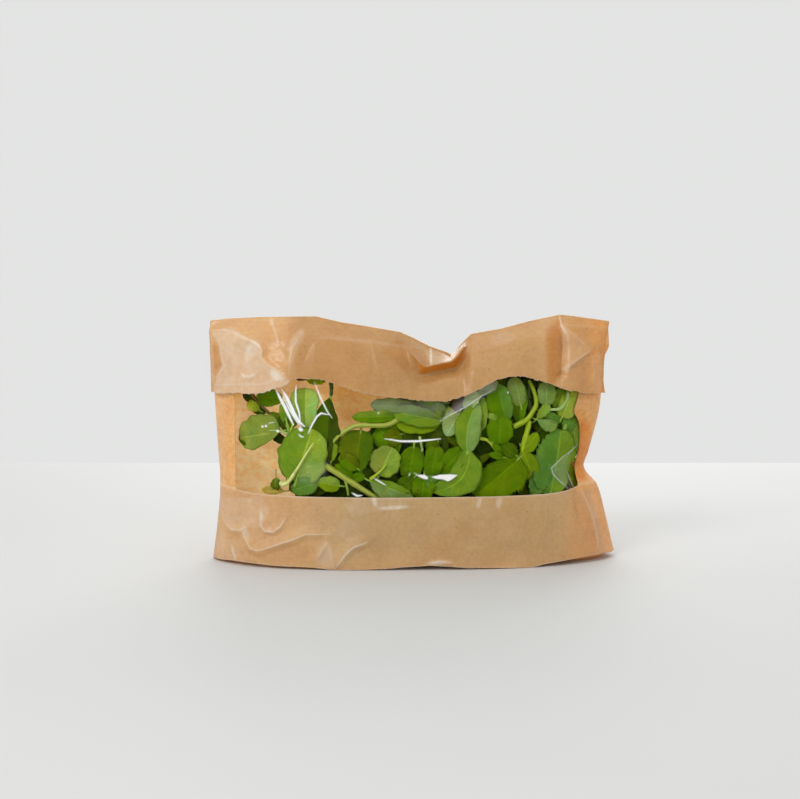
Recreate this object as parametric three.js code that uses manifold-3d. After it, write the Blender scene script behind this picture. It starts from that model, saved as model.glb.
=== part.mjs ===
// A kraft paper pack of fresh mint: a standing bag that is folded shut at the top, with a clear
// window right across its front and the sprigs that show behind it. Millimetres, +Z up, the
// window faces -Y, and the origin is the middle of the base.
//
// Every shape is a closed sheet: two faces over the same grid, joined round the rim. The bag's
// front and back are functions of u, from -1 at the left edge to 1 at the right edge, and v,
// from 0 at the base to 1 on the top fold.

import * as THREE from 'three';
import { mergeVertices } from 'three/addons/utils/BufferGeometryUtils.js';
import Module from 'manifold-3d';

const wasm = await Module();
wasm.setup();

// ---- Driving sizes, mm -------------------------------------------------------------------

const BAG_HEIGHT = 152;       // where the side edges end
const WALL = 1.2;             // paper, thick enough to be a solid
const GAP = 0.3;              // clearance between separate pieces
const FRONT_BULGE = 37;       // how far the front stands out from the side edges
const BACK_BULGE = 20.1;
const FOLD_Y = 4.5;           // where the top fold lies
const LEFT_EDGE_Y = [4, 8];   // the left side edge, at the base and at half height
const RIGHT_EDGE_Y = [12, 11];
const CORNER_LIFT = 3;        // the base's two corners stand clear of the table
const CORNER_START = 0.86;    // from this share of the half width on

// The outline: [height, x] up each side edge, and [x, height] along the top fold.
const LEFT_SIDE = [[0, -128.8], [20, -126.2], [46, -124], [81, -125.6], [152, -128.6]];
const RIGHT_SIDE = [[0, 128.8], [26, 122.4], [44, 117], [52, 110], [57, 108.5], [66, 111.3],
  [97, 118], [134, 119.3], [152, 122.4]];
const TOP_FOLD = [[-128.6, 152.3], [-96, 154.5], [-62, 154.5], [-28, 148], [-6, 143.5],
  [10, 135.5], [19, 132], [22, 130], [26, 133.5], [35.5, 143], [55, 147], [92, 156], [122, 152]];

// The window, and the flap that the top of the bag makes where it is folded down in front.
const WINDOW_LEFT = -112.5;
const WINDOW_RIGHT = 103;
const WINDOW_BOTTOM = 46.3;
const WINDOW_TOP = 0.86;      // in v, behind the flap
const FILM = 0.6;
const FLAP = 1.3;             // two layers of paper
const FLAP_STANDOFF = 3.2;    // at its free edge
const FLAP_EDGE = [[-128.6, 107], [-95, 107], [-80, 110.5], [-73.5, 119.5], [-58, 119],
  [-31, 111], [-9, 107.9], [18, 106], [34, 110], [50, 118.2], [65, 120.5], [81, 117],
  [97, 111], [121, 106.7]];
const NOTCH = { x: 22, z: 122, depth: 5, wide: 13, high: 6 };

// The mint: a core that carries leaves all over its front and top, and stems.
const CORE = { left: -108, right: 103, low: 4, behindFront: 15, aheadOfBack: 5 };
const CORE_TOP = [[-108, 84], [-80, 92], [-45, 94], [-20, 99], [20, 104], [60, 112], [103, 102]];
const LEAF_ROWS = 5;
const LEAVES_PER_ROW = 10;
const LEAF_LOW = 46;
const LEAF_LENGTH = [24, 35];
const TIP_BEHIND_FRONT = [3, 9];
const LEAF_SHAPE = 0.66;      // width over length
const LEAF_THICK = 0.9;
const STEM_RADIUS = 1.5;
const SEED = 41;

const SHORTEST_EDGE = 0.06;
const BAG_COLUMNS = 38;
const BAG_ROWS = 11;
const WINDOW_GRID = [17, 6];

// ---- Small helpers -----------------------------------------------------------------------

const mix = (a, b, t) => a + (b - a) * t;
const clamp = (value, low, high) => Math.min(high, Math.max(low, value));
const smooth = (t) => clamp(t, 0, 1) ** 2 * (3 - 2 * clamp(t, 0, 1));
const bump = (distance, width) => Math.exp(-((distance / width) ** 2));

// A smooth line through [position, value] pairs: cubic pieces whose slope at each point is
// that of the chord between its neighbours.
function lineThrough(points) {
  const slope = points.map((point, i) => {
    const before = points[Math.max(i - 1, 0)];
    const after = points[Math.min(i + 1, points.length - 1)];
    return (after[1] - before[1]) / (after[0] - before[0]);
  });
  return (at) => {
    const position = clamp(at, points[0][0], points[points.length - 1][0]);
    const next = Math.max(1, points.findIndex((point) => point[0] >= position));
    const [x0, y0] = points[next - 1];
    const [x1, y1] = points[next];
    const h = x1 - x0;
    const t = (position - x0) / h;
    return (1 + 2 * t) * (1 - t) ** 2 * y0 + t * (1 - t) ** 2 * h * slope[next - 1]
      + t * t * (3 - 2 * t) * y1 + t * t * (t - 1) * h * slope[next];
  };
}

// Numbers from 0 to 1 that are the same on every run.
function seededRandom(seed) {
  let state = seed;
  return () => {
    state = (state * 16807) % 2147483647;
    return state / 2147483647;
  };
}

// A closed solid from two faces over one grid. faceA(s, t) and faceB(s, t) give points for s
// and t from 0 to 1; both are split into the same triangles and joined along the four sides.
// Where the faces meet, the points are merged and the empty triangles dropped.
function closedSheet(columns, rows, faceA, faceB) {
  const points = [];
  for (const face of [faceA, faceB]) {
    for (let j = 0; j <= rows; j++) {
      for (let i = 0; i <= columns; i++) points.push(...face(i / columns, j / rows).toArray());
    }
  }
  const at = (side, i, j) => side * (columns + 1) * (rows + 1) + j * (columns + 1) + i;
  const index = [];
  const quad = (a, b, c, d) => index.push(a, b, c, a, c, d);
  for (let j = 0; j < rows; j++) {
    for (let i = 0; i < columns; i++) {
      quad(at(0, i, j), at(0, i + 1, j), at(0, i + 1, j + 1), at(0, i, j + 1));
      index.push(at(1, i, j), at(1, i + 1, j + 1), at(1, i + 1, j));
      index.push(at(1, i, j), at(1, i, j + 1), at(1, i + 1, j + 1));
    }
    quad(at(0, 0, j), at(0, 0, j + 1), at(1, 0, j + 1), at(1, 0, j));
    quad(at(0, columns, j + 1), at(0, columns, j), at(1, columns, j), at(1, columns, j + 1));
  }
  for (let i = 0; i < columns; i++) {
    quad(at(0, i + 1, 0), at(0, i, 0), at(1, i, 0), at(1, i + 1, 0));
    quad(at(0, i, rows), at(0, i + 1, rows), at(1, i + 1, rows), at(1, i, rows));
  }
  return withoutEmptyFaces(points, index);
}

function withoutEmptyFaces(points, index) {
  const raw = new THREE.BufferGeometry();
  raw.setAttribute('position', new THREE.Float32BufferAttribute(points, 3));
  raw.setIndex(index);
  const merged = mergeVertices(raw, 1e-4);
  const kept = [];
  for (let i = 0; i < merged.index.count; i += 3) {
    const [a, b, c] = [0, 1, 2].map((k) => merged.index.getX(i + k));
    if (a !== b && b !== c && c !== a) kept.push(a, b, c);
  }
  merged.setIndex(kept);
  return merged;
}

// ---- Joining and cutting -----------------------------------------------------------------

function toSolid(geometry) {
  return new wasm.Manifold(new wasm.Mesh({
    numProp: 3,
    vertProperties: Float32Array.from(geometry.attributes.position.array),
    triVerts: Uint32Array.from(geometry.index.array),
  }));
}

// The largest piece alone: loose scraps and the skins of sealed hollows are left out, and
// edges shorter than the tolerance are closed up.
function largestPiece(solid) {
  const pieces = solid.simplify(SHORTEST_EDGE).decompose();
  return pieces.reduce((best, piece) => (piece.volume() > best.volume() ? piece : best));
}

function toGeometry(solid) {
  const mesh = solid.getMesh();
  const geometry = new THREE.BufferGeometry();
  geometry.setAttribute('position', new THREE.BufferAttribute(mesh.vertProperties, 3));
  geometry.setIndex(new THREE.BufferAttribute(mesh.triVerts, 1));
  geometry.computeVertexNormals();
  return geometry;
}

// ---- The bag's form ----------------------------------------------------------------------

const leftSide = lineThrough(LEFT_SIDE);
const rightSide = lineThrough(RIGHT_SIDE);
const topFold = lineThrough(TOP_FOLD);
const flapEdge = lineThrough(FLAP_EDGE);
const coreTop = lineThrough(CORE_TOP);

const atX = (u, v) => mix(leftSide(v * BAG_HEIGHT), rightSide(v * BAG_HEIGHT), (u + 1) / 2);
const baseLift = (u) => CORNER_LIFT * smooth((Math.abs(u) - CORNER_START) / (1 - CORNER_START));
const atZ = (u, v) => mix(baseLift(u), topFold(atX(u, v)), v);

// The side edges run up at their own depth and meet the top fold.
function edgeY(u, v) {
  const left = mix(...LEFT_EDGE_Y, Math.sin(Math.PI * v));
  const right = mix(...RIGHT_EDGE_Y, Math.sin(Math.PI * v));
  return mix(mix(left, right, (u + 1) / 2), FOLD_Y, v ** 3);
}

// Full from the base to half height, then closing to nothing at the fold.
const fullness = (v) => clamp(1 - v ** 3.5, 0, 1) ** 0.75;
const frontY = (u, v) => edgeY(u, v)
  - FRONT_BULGE * fullness(v) * clamp(1 - Math.abs(u) ** 3, 0, 1) ** 0.6;
const backY = (u, v) => edgeY(u, v)
  + BACK_BULGE * fullness(v) * clamp(1 - u ** 4, 0, 1) ** 0.5;

// A point of the front (side -1) or back (side 1) face, moved inwards by inset. The inset
// fades where the two faces come together, so that they still meet.
function bagPoint(u, v, side, inset = 0) {
  const middle = (frontY(u, v) + backY(u, v)) / 2;
  const half = (backY(u, v) - frontY(u, v)) / 2;
  const left = inset ? inset * (1 - Math.exp(-half / inset)) : 0;
  const narrower = 1 - (2.2 * inset) / 120;
  const height = atZ(u, v);
  const z = inset + height * (1 - (4 * inset) / BAG_HEIGHT);
  return new THREE.Vector3(atX(u, v) * narrower, middle + side * (half - left), z);
}

// u across the bag, closer together near the side edges.
const acrossBag = (s) => Math.sin((s - 0.5) * Math.PI);

function bagSolid(inset) {
  const face = (side) => (s, t) => bagPoint(acrossBag(s), t, side, inset);
  return toSolid(closedSheet(BAG_COLUMNS, BAG_ROWS, face(-1), face(1)));
}

// The bag's depth in front of and behind the place that lies at x and z.
function depthsAt(x, z) {
  const v = Math.min(z / topFold(x), 1);
  const [left, right] = [leftSide(v * BAG_HEIGHT), rightSide(v * BAG_HEIGHT)];
  const u = clamp((2 * x - left - right) / (right - left), -1, 1);
  return { front: frontY(u, v), back: backY(u, v) };
}

// A sheet that fills the window, shrunk by a margin, between two depths behind the front. The
// opening and the film share one grid, so that their edges run side by side.
function windowSheet(margin, depthA, depthB) {
  const face = (depth) => (s, t) => {
    const x = mix(WINDOW_LEFT + margin, WINDOW_RIGHT - margin, s);
    const z = mix(WINDOW_BOTTOM + margin, WINDOW_TOP * topFold(x) - margin, t);
    const { front, back } = depthsAt(x, z);
    return new THREE.Vector3(x, front + depth(back - front), z);
  };
  return closedSheet(...WINDOW_GRID, face(depthA), face(depthB));
}

// The flap hangs from the top fold in front of the bag. It caps the fold, stands further off
// towards its free edge, and is pushed in below the notch in the fold.
function flapFace(layer) {
  return (s, t) => {
    const ends = [leftSide(BAG_HEIGHT) + GAP, rightSide(BAG_HEIGHT) - GAP];
    const x = mix(...ends, (acrossBag(s) + 1) / 2);
    const z = mix(flapEdge(x), topFold(x) + GAP, t);
    const standoff = mix(-0.2, FLAP_STANDOFF, smooth(3 * (1 - t)));
    const notch = NOTCH.depth * bump(x - NOTCH.x, NOTCH.wide) * bump(z - NOTCH.z, NOTCH.high);
    const pushedIn = Math.min(notch, Math.max(standoff - 0.5, 0));
    return new THREE.Vector3(x, depthsAt(x, z).front - standoff + pushedIn - layer, z);
  };
}

function makeBag() {
  const shell = bagSolid(0).subtract(bagSolid(WALL));
  const opening = toSolid(windowSheet(0, () => -8, (deep) => deep / 2));
  const flap = toSolid(closedSheet(BAG_COLUMNS, 6, flapFace(FLAP), flapFace(0)));
  return largestPiece(shell.subtract(opening).add(flap));
}

const makeFilm = () => windowSheet(GAP, () => GAP, () => GAP + FILM);

// ---- The mint ----------------------------------------------------------------------------

// The front and the back of the core at x and z, rounded off towards its edges.
function coreFace(side) {
  return (s, t) => {
    const x = mix(CORE.left, CORE.right, (acrossBag(s) + 1) / 2);
    const z = mix(CORE.low, coreTop(x), (acrossBag(t) + 1) / 2);
    const room = depthsAt(x, z);
    const front = room.front + CORE.behindFront;
    const back = room.back - CORE.aheadOfBack;
    const rounded = (Math.cos(acrossBag(s) * 1.5) * Math.cos(acrossBag(t) * 1.4)) ** 0.35;
    const middle = (front + back) / 2;
    const uneven = 1.6 * Math.sin(x / 9) * Math.cos(z / 7);
    return new THREE.Vector3(x, middle + (side * (back - front) * rounded) / 2 + uneven, z);
  };
}

// One leaf, lying along +Y from its base at the origin, with its upper face to +Z: pointed at
// both ends, folded a little along the midrib, bent down lengthways, and wavy at its edges.
function leafSheet(length, width, bend, wave, phase) {
  const face = (layer) => (s, t) => {
    const across = 2 * s - 1;
    const outline = Math.sin(Math.PI * mix(0.03, 0.97, t) ** 0.85) ** 0.75;
    const x = (across * width * outline) / 2;
    const fold = 0.22 * Math.abs(x);
    const edgeWave = wave * Math.abs(across) * Math.sin(3 * Math.PI * t + phase + across);
    return new THREE.Vector3(x, length * t, fold + edgeWave - bend * t * t * length + layer);
  };
  return closedSheet(2, 5, face(LEAF_THICK / 2), face(-LEAF_THICK / 2));
}

// The leaf is turned so that it lies along direction with its face towards facing.
function placedLeaf(leaf, base, direction, facing) {
  const along = direction.clone().normalize();
  const across = along.clone().cross(facing).normalize();
  const up = across.clone().cross(along);
  const pose = new THREE.Matrix4().makeBasis(across, along, up).setPosition(base);
  return toSolid(leaf.applyMatrix4(pose));
}

// A leaf whose middle lies at x and z, turned its own way: its base is in the core and its
// tip is near the window.
function strewnLeaf(x, z, random) {
  const length = mix(...LEAF_LENGTH, random());
  const turn = 2 * Math.PI * random();
  const end = (share, behind) => {
    const [ex, ez] = [x + share * length * Math.cos(turn), z + share * length * Math.sin(turn)];
    return new THREE.Vector3(ex, depthsAt(ex, ez).front + behind, ez);
  };
  const base = end(-0.45, CORE.behindFront + 2);
  const tip = end(0.45, mix(...TIP_BEHIND_FRONT, random()));
  const facing = new THREE.Vector3(0.7 * (random() - 0.5), -1, 0.3 + 0.6 * (random() - 0.5));
  const leaf = leafSheet(length, length * LEAF_SHAPE, 0.1, 1.4, 6 * random());
  return placedLeaf(leaf, base, tip.sub(base), facing);
}

// Leaves spread evenly over the core's front, in rows that are staggered and jittered.
function makeLeaves(random) {
  const leaves = [];
  for (let row = 0; row < LEAF_ROWS; row++) {
    for (let k = 0; k < LEAVES_PER_ROW; k++) {
      const spread = (k + 0.5 * (row % 2) + random()) / (LEAVES_PER_ROW + 0.5);
      const x = mix(CORE.left + 5, CORE.right - 5, spread);
      const z = mix(LEAF_LOW, coreTop(x) - 2, (row + 0.5 * random()) / (LEAF_ROWS - 0.75));
      leaves.push(strewnLeaf(x, z, random));
    }
  }
  return leaves;
}

// A stem is a bent round bar that starts in the core and ends near the window.
function makeStem(points) {
  const path = new THREE.CatmullRomCurve3(points.map((point) => new THREE.Vector3(...point)));
  const section = new THREE.Shape().absarc(0, 0, STEM_RADIUS, 0, 2 * Math.PI);
  const bar = new THREE.ExtrudeGeometry(section, { curveSegments: 3, steps: 5, extrudePath: path });
  bar.deleteAttribute('normal').deleteAttribute('uv');
  return toSolid(mergeVertices(bar, 1e-4));
}

const STEMS = [
  [[-48, -10, 70], [-38, -22, 66], [-27, -24, 59], [-15, -12, 50]],
  [[-50, -12, 74], [-36, -22, 88], [-20, -22, 91], [-6, -12, 96]],
  [[40, -12, 84], [52, -20, 80], [60, -12, 74]],
  [[62, -10, 84], [74, -19, 92], [82, -18, 99], [80, -8, 116]],
  [[84, -12, 97], [92, -16, 98], [96, -12, 108], [94, -5, 112]],
];

function makeMint() {
  const random = seededRandom(SEED);
  const core = toSolid(closedSheet(14, 7, coreFace(-1), coreFace(1)));
  const heap = wasm.Manifold.union([core, ...makeLeaves(random), ...STEMS.map(makeStem)]);
  const room = bagSolid(WALL + GAP);
  const filmSide = toSolid(windowSheet(-2, () => -20, () => 2 * GAP + FILM));
  return largestPiece(heap.intersect(room).subtract(filmSide));
}

// ---- The object --------------------------------------------------------------------------

const finish = {
  kraft: { color: 0xb98a58, roughness: 0.72, metalness: 0 },
  film: { color: 0xe8ece6, roughness: 0.08, metalness: 0, transparent: true, opacity: 0.25 },
  mint: { color: 0x5d8a26, roughness: 0.5, metalness: 0 },
};

function named(name, geometry, material) {
  const mesh = new THREE.Mesh(geometry, new THREE.MeshStandardMaterial(material));
  mesh.name = name;
  return mesh;
}

const pack = new THREE.Group();
pack.add(named('kraft_bag', toGeometry(makeBag()), finish.kraft));
pack.add(named('window_film', makeFilm(), finish.film));
pack.add(named('mint_sprigs', toGeometry(makeMint()), finish.mint));

export default pack;
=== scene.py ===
"""Looks of a kraft paper pack of fresh mint: folded top, clear window, sprigs inside.

The pack's form is worked out in millimetres, as functions of u, from -1 at the left side edge
to 1 at the right one, and v, from 0 at the base to 1 on the top fold. Meshes are in metres.
"""

import collections
import math

import bpy
import numpy as np
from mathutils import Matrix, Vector


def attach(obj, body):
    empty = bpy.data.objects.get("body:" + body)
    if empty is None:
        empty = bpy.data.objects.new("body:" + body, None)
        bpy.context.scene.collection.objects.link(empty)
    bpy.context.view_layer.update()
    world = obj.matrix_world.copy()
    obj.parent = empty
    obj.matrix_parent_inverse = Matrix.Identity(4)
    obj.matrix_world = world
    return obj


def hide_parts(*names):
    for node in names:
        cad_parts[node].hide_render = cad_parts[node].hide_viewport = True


bl_info = {
    "name": "Mint pack",
    "version": (1, 0, 0),
    "blender": (4, 5, 0),
    "location": "3D View > Sidebar > Mint pack",
    "description": "Builds the paper, the film and the mint of the pack around its packed frame",
    "category": "Object",
}

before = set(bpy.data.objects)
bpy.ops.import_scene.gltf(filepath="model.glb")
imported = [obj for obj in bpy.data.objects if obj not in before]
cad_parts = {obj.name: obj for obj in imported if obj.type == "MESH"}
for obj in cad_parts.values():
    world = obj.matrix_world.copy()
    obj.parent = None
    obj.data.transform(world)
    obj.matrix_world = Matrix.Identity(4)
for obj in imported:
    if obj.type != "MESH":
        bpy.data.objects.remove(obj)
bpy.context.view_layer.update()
MM = 0.001

# ---- The bag's form, mm: as in the part's source, but for the flap's edge, finer here -------

BAG_HEIGHT = 152
FRONT_BULGE = 37
BACK_BULGE = 20.1
FOLD_Y = 4.5
LEFT_EDGE_Y = (4, 8)
RIGHT_EDGE_Y = (12, 11)
CORNER_LIFT = (0.9, 3.4)
CORNER_START = 0.86
LEFT_SIDE = [(0, -128.8), (20, -126.2), (46, -124), (81, -125.6), (152, -128.6)]
RIGHT_SIDE = [(0, 128.8), (26, 122.4), (44, 117), (52, 110), (57, 108.5), (66, 111.3),
              (97, 118), (134, 119.3), (152, 122.4)]
TOP_FOLD = [(-128.6, 152.3), (-115, 153.6), (-96, 154.5), (-62, 154.9), (-46, 151.2), (-28, 148.3),
            (-9, 145), (0, 141), (10, 136), (19, 132.4), (22, 130.6), (26, 133.6), (31, 139),
            (35.6, 143.8), (54, 147), (73, 152), (92, 156), (101, 155), (122, 152)]
# How far the front's lower edge stands off the table: (x, mm).
FRONT_LIFT = [(-128.8, 0.9), (-115, 2.4), (-103, 2.3), (-87, 1.6), (-67, 1.5), (-59, 1), (-50, 0),
              (-34, 0.3), (-17, 0.9), (-7, 1.9), (9, 2.8), (22, 2), (33, 1), (53, 0.6), (74, 0),
              (82, 1.8), (92, 2.8), (103, 3.8), (112, 4.3), (120, 4.4), (128.8, 3.4)]
WINDOW_LEFT = -112.5
WINDOW_TOP = 0.86
FLAP_EDGE = [(-128.6, 107.6), (-116, 109), (-101, 109.8), (-93.6, 110.5), (-87.5, 113.4),
             (-82, 114.8), (-79, 116.2), (-75.8, 119), (-72, 119.6), (-58, 119), (-31, 111),
             (-9, 107.9), (18, 106), (34, 110), (50, 118.2), (65, 120.5), (81, 117), (97, 111),
             (121, 106.7)]

# The window's right and bottom edges as the paper is really cut: (height, x) and (x, height).
WINDOW_RIGHT = [(46, 103.3), (59, 101.4), (65, 103.3), (70, 104.1), (82, 104.2), (88, 103),
                (94, 100.1), (100, 101.8), (109, 103.7), (135, 104)]
WINDOW_BOTTOM = [(-125, 48.4), (-112, 47.6), (-96, 46.3), (80, 46.3), (96, 47.4), (104, 49.6)]

# ---- The photograph's camera ---------------------------------------------------------------

IMAGE_WIDTH = 800
IMAGE_MIDDLE = (400, 399.5)
LENS_MM = 85
SENSOR_MM = 36
CAMERA_TILT = math.radians(9)
CAMERA_DISTANCE = 1192
LOOK_AT = (-9.1, 0, 103.4)
PIXELS_PER_RADIAN = LENS_MM / SENSOR_MM * IMAGE_WIDTH


def mix(a, b, share):
    """a where the share is 0, b where it is 1."""
    return a + (b - a) * share


def ease(t):
    """0 below t = 0, 1 above t = 1, and a smooth S between: 3t^2 - 2t^3."""
    t = np.clip(t, 0, 1)
    return t * t * (3 - 2 * t)


def line_through(points):
    """A smooth line through (position, value) pairs: cubic pieces, sloped as the chords are."""
    at, value = np.array(points, float).T
    before, after = np.arange(len(at)) - 1, np.arange(len(at)) + 1
    before[0], after[-1] = 0, len(at) - 1
    slope = (value[after] - value[before]) / (at[after] - at[before])

    def line(position):
        position = np.clip(position, at[0], at[-1])
        i = np.clip(np.searchsorted(at, position) - 1, 0, len(at) - 2)
        width = at[i + 1] - at[i]
        t = (position - at[i]) / width
        return ((1 + 2 * t) * (1 - t) ** 2 * value[i] + t * (1 - t) ** 2 * width * slope[i]
                + t * t * (3 - 2 * t) * value[i + 1] + t * t * (t - 1) * width * slope[i + 1])
    return line


def straight_through(points):
    """A line through (position, value) pairs, straight from each to the next."""
    at, value = np.array(points, float).T
    return lambda position: np.interp(position, at, value)


top_fold = straight_through(TOP_FOLD)
front_lift = straight_through(FRONT_LIFT)
left_side = line_through(LEFT_SIDE)
right_side = line_through(RIGHT_SIDE)
flap_edge = line_through(FLAP_EDGE)
window_right = line_through(WINDOW_RIGHT)
window_bottom = line_through(WINDOW_BOTTOM)


def base_lift(u):
    """How far the base stands off the table: nothing, then rising towards both corners."""
    corner = np.where(u < 0, CORNER_LIFT[0], CORNER_LIFT[1])
    return corner * ease((np.abs(u) - CORNER_START) / (1 - CORNER_START))


def edge_y(u, v):
    """The depth of the side edges, carried across and gathered into the top fold."""
    left = mix(LEFT_EDGE_Y[0], LEFT_EDGE_Y[1], np.sin(np.pi * v))
    right = mix(RIGHT_EDGE_Y[0], RIGHT_EDGE_Y[1], np.sin(np.pi * v))
    return mix(mix(left, right, (u + 1) / 2), FOLD_Y, v ** 3)


def fullness(v):
    """1 from the base to half height, closing to 0 at the fold: (1 - v^3.5)^0.75."""
    return np.clip(1 - v ** 3.5, 0, 1) ** 0.75


def front_y(u, v):
    """The front stands off the side edges by its bulge, fullness and (1 - |u|^3)^0.6."""
    return edge_y(u, v) - FRONT_BULGE * fullness(v) * np.clip(1 - np.abs(u) ** 3, 0, 1) ** 0.6


def back_y(u, v):
    """The back stands off the side edges by its bulge, fullness and (1 - u^4)^0.5."""
    return edge_y(u, v) + BACK_BULGE * fullness(v) * np.sqrt(np.clip(1 - u ** 4, 0, 1))


def uv_at(x, z):
    """The u and v of the place on the bag that lies at x and z."""
    v = np.clip(z / top_fold(x), 0, 1)
    left, right = left_side(v * BAG_HEIGHT), right_side(v * BAG_HEIGHT)
    return np.clip((2 * x - left - right) / (right - left), -1, 1), v


def front_at(x, z):
    """The depth of the bag's front at x and z."""
    return front_y(*uv_at(x, z))


def back_at(x, z):
    """The depth of the bag's back at x and z."""
    return back_y(*uv_at(x, z))


def on_front(spot, behind=0.0):
    """The place on the bag's front, or so far behind it, that the camera sees at a pixel.

    The line of sight is met with the front's depth, over and over until both agree.
    """
    right = (spot[0] - IMAGE_MIDDLE[0]) / PIXELS_PER_RADIAN
    up = (IMAGE_MIDDLE[1] - spot[1]) / PIXELS_PER_RADIAN
    cosine, sine = math.cos(CAMERA_TILT), math.sin(CAMERA_TILT)
    y = -20.0
    for _ in range(30):
        rise = (up * (y * cosine + CAMERA_DISTANCE) - y * sine) / (cosine + up * sine)
        depth = y * cosine + CAMERA_DISTANCE - rise * sine
        x, z = LOOK_AT[0] + right * depth, LOOK_AT[2] + rise
        y = 0.5 * y + 0.5 * (float(front_at(x, max(z, 0.0))) + behind)
    return np.array([x, y, z])


# ---- Meshes --------------------------------------------------------------------------------


def grid_quads(rows, columns, keep=None, start=0):
    """The four-cornered faces of a grid of points, facing across x up; keep masks them."""
    index = np.arange(rows * columns).reshape(rows, columns) + start
    quads = np.stack([index[:-1, :-1], index[:-1, 1:], index[1:, 1:], index[1:, :-1]], -1)
    return quads[keep] if keep is not None else quads.reshape(-1, 4)


def add_piece(name, points, quads, material, uv=None, marks=None, colors=None):
    """A smooth mesh object from points in mm, with a UV and named marks for each point."""
    used, quads = np.unique(quads, return_inverse=True)
    quads = quads.reshape(-1, 4)
    mesh = bpy.data.meshes.new(name)
    mesh.from_pydata((points.reshape(-1, 3)[used] * MM).tolist(), [], quads.tolist())
    mesh.polygons.foreach_set("use_smooth", np.ones(len(quads), bool))
    if uv is not None:
        layer = mesh.uv_layers.new(name="UVMap")
        layer.data.foreach_set("uv", uv.reshape(-1, 2)[used][quads.ravel()].ravel())
    for mark, values in (marks or {}).items():
        data = mesh.attributes.new(mark, "FLOAT", "POINT").data
        data.foreach_set("value", values.reshape(-1)[used].astype(np.float32))
    if colors is not None:
        full = np.ones((len(used), 4), np.float32)
        full[:, :3] = colors.reshape(-1, 3)[used]
        mesh.attributes.new("Tint", "FLOAT_COLOR", "POINT").data.foreach_set("color", full.ravel())
    mesh.materials.append(material)
    mesh.validate()
    piece = bpy.data.objects.new(name, mesh)
    bpy.context.scene.collection.objects.link(piece)
    return piece


def give_thickness(piece, thickness, inner=None):
    """Thickens a sheet inwards; its inner side may have a material of its own."""
    wall = piece.modifiers.new("Thickness", "SOLIDIFY")
    wall.thickness = thickness
    wall.offset = -1
    wall.use_rim = True
    if inner is not None:
        piece.data.materials.append(inner)
        wall.material_offset = 1


def outward(points):
    """Unit normals of a grid of points, from its differences along and across."""
    across, up = np.gradient(points, axis=1), np.gradient(points, axis=0)
    normal = np.cross(across, up)
    return normal / np.maximum(np.linalg.norm(normal, axis=2, keepdims=True), 1e-9)


def along_line(x, z, path):
    """For each place: its distance from a line, its side (1 left) and the line's share there."""
    path = np.array(path, float)
    steps = np.diff(path, axis=0)
    lengths = np.hypot(steps[:, 0], steps[:, 1])
    reached = np.concatenate([[0], np.cumsum(lengths)])
    nearest = np.full(np.shape(x), 1e9)
    side, share = np.zeros(np.shape(x)), np.zeros(np.shape(x))
    for (x0, z0), (dx, dz), length, start in zip(path, steps, lengths, reached):
        t = np.clip(((x - x0) * dx + (z - z0) * dz) / length ** 2, 0, 1)
        away_x, away_z = x - x0 - t * dx, z - z0 - t * dz
        distance = np.hypot(away_x, away_z)
        closer = distance < nearest
        nearest = np.where(closer, distance, nearest)
        side = np.where(closer, np.sign(dx * away_z - dz * away_x), side)
        share = np.where(closer, (start + t * length) / reached[-1], share)
    return nearest, side, share


def inside_area(x, z, corners, soft):
    """1 inside a closed outline, 0 outside, with an edge so soft: even and odd crossings tell."""
    corners = np.array(corners, float)
    inside = np.zeros(x.shape, bool)
    for (x0, z0), (x1, z1) in zip(corners, np.roll(corners, -1, axis=0)):
        level = (z0 > z) != (z1 > z)
        crossing = x0 + (z - z0) * (x1 - x0) / (z1 - z0 if z1 != z0 else 1e-9)
        inside ^= level & (x < crossing)
    distance = along_line(x, z, np.concatenate([corners, corners[:1]]))[0]
    return ease(0.5 + np.where(inside, distance, -distance) / soft)


# How soft the edge of a crease's pale mark is, mm.
MARK_EDGE = 0.5

# A crease's pale mark on the paper is partly its own paleness where creased and partly a painted
# highlight along its ridge; on the film it is a painted highlight.
Crease = collections.namedtuple(
    "Crease", "path height left right mark thin", defaults=(1.0, 4, 4, 0.6, 0.7))


def crease_relief(x, z, creases, behind=0.0):
    """The height and the pale mark of creases, whose paths are pixels on the bag's front.

    A crease is a ridge that falls off straight to each side over its own reach, and tapers to
    its ends; its mark is as wide as it says in the middle, and has a narrow soft edge.
    """
    height, mark = np.zeros(x.shape), np.zeros(x.shape)
    for crease in creases:
        path = [on_front(spot, behind)[[0, 2]] for spot in crease.path]
        distance, side, share = along_line(x, z, path)
        taper = np.sin(np.pi * np.clip(share, 0.04, 0.96)) ** 0.5
        reach = np.where(side > 0, crease.left, crease.right)
        slope = np.clip(1 - distance / reach, 0, 1)
        height += crease.height * taper * slope ** 1.1
        inside = (crease.thin * taper - distance) / MARK_EDGE
        mark = np.maximum(mark, crease.mark * ease(inside + 0.5))
    return height, mark


def waves(x, z, seed, longest, size):
    """Soft unevenness: six sine waves of seeded direction and phase, each shorter and lower."""
    draw = np.random.default_rng(seed)
    total = np.zeros(np.shape(x))
    for k in range(6):
        turn, phase = draw.uniform(0, np.pi), draw.uniform(0, 2 * np.pi)
        length = longest / (1 + 0.6 * k)
        across = x * np.cos(turn) + z * np.sin(turn)
        total += np.sin(2 * np.pi * across / length + phase) / (1 + 0.5 * k)
    return total * size / 2.5


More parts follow.
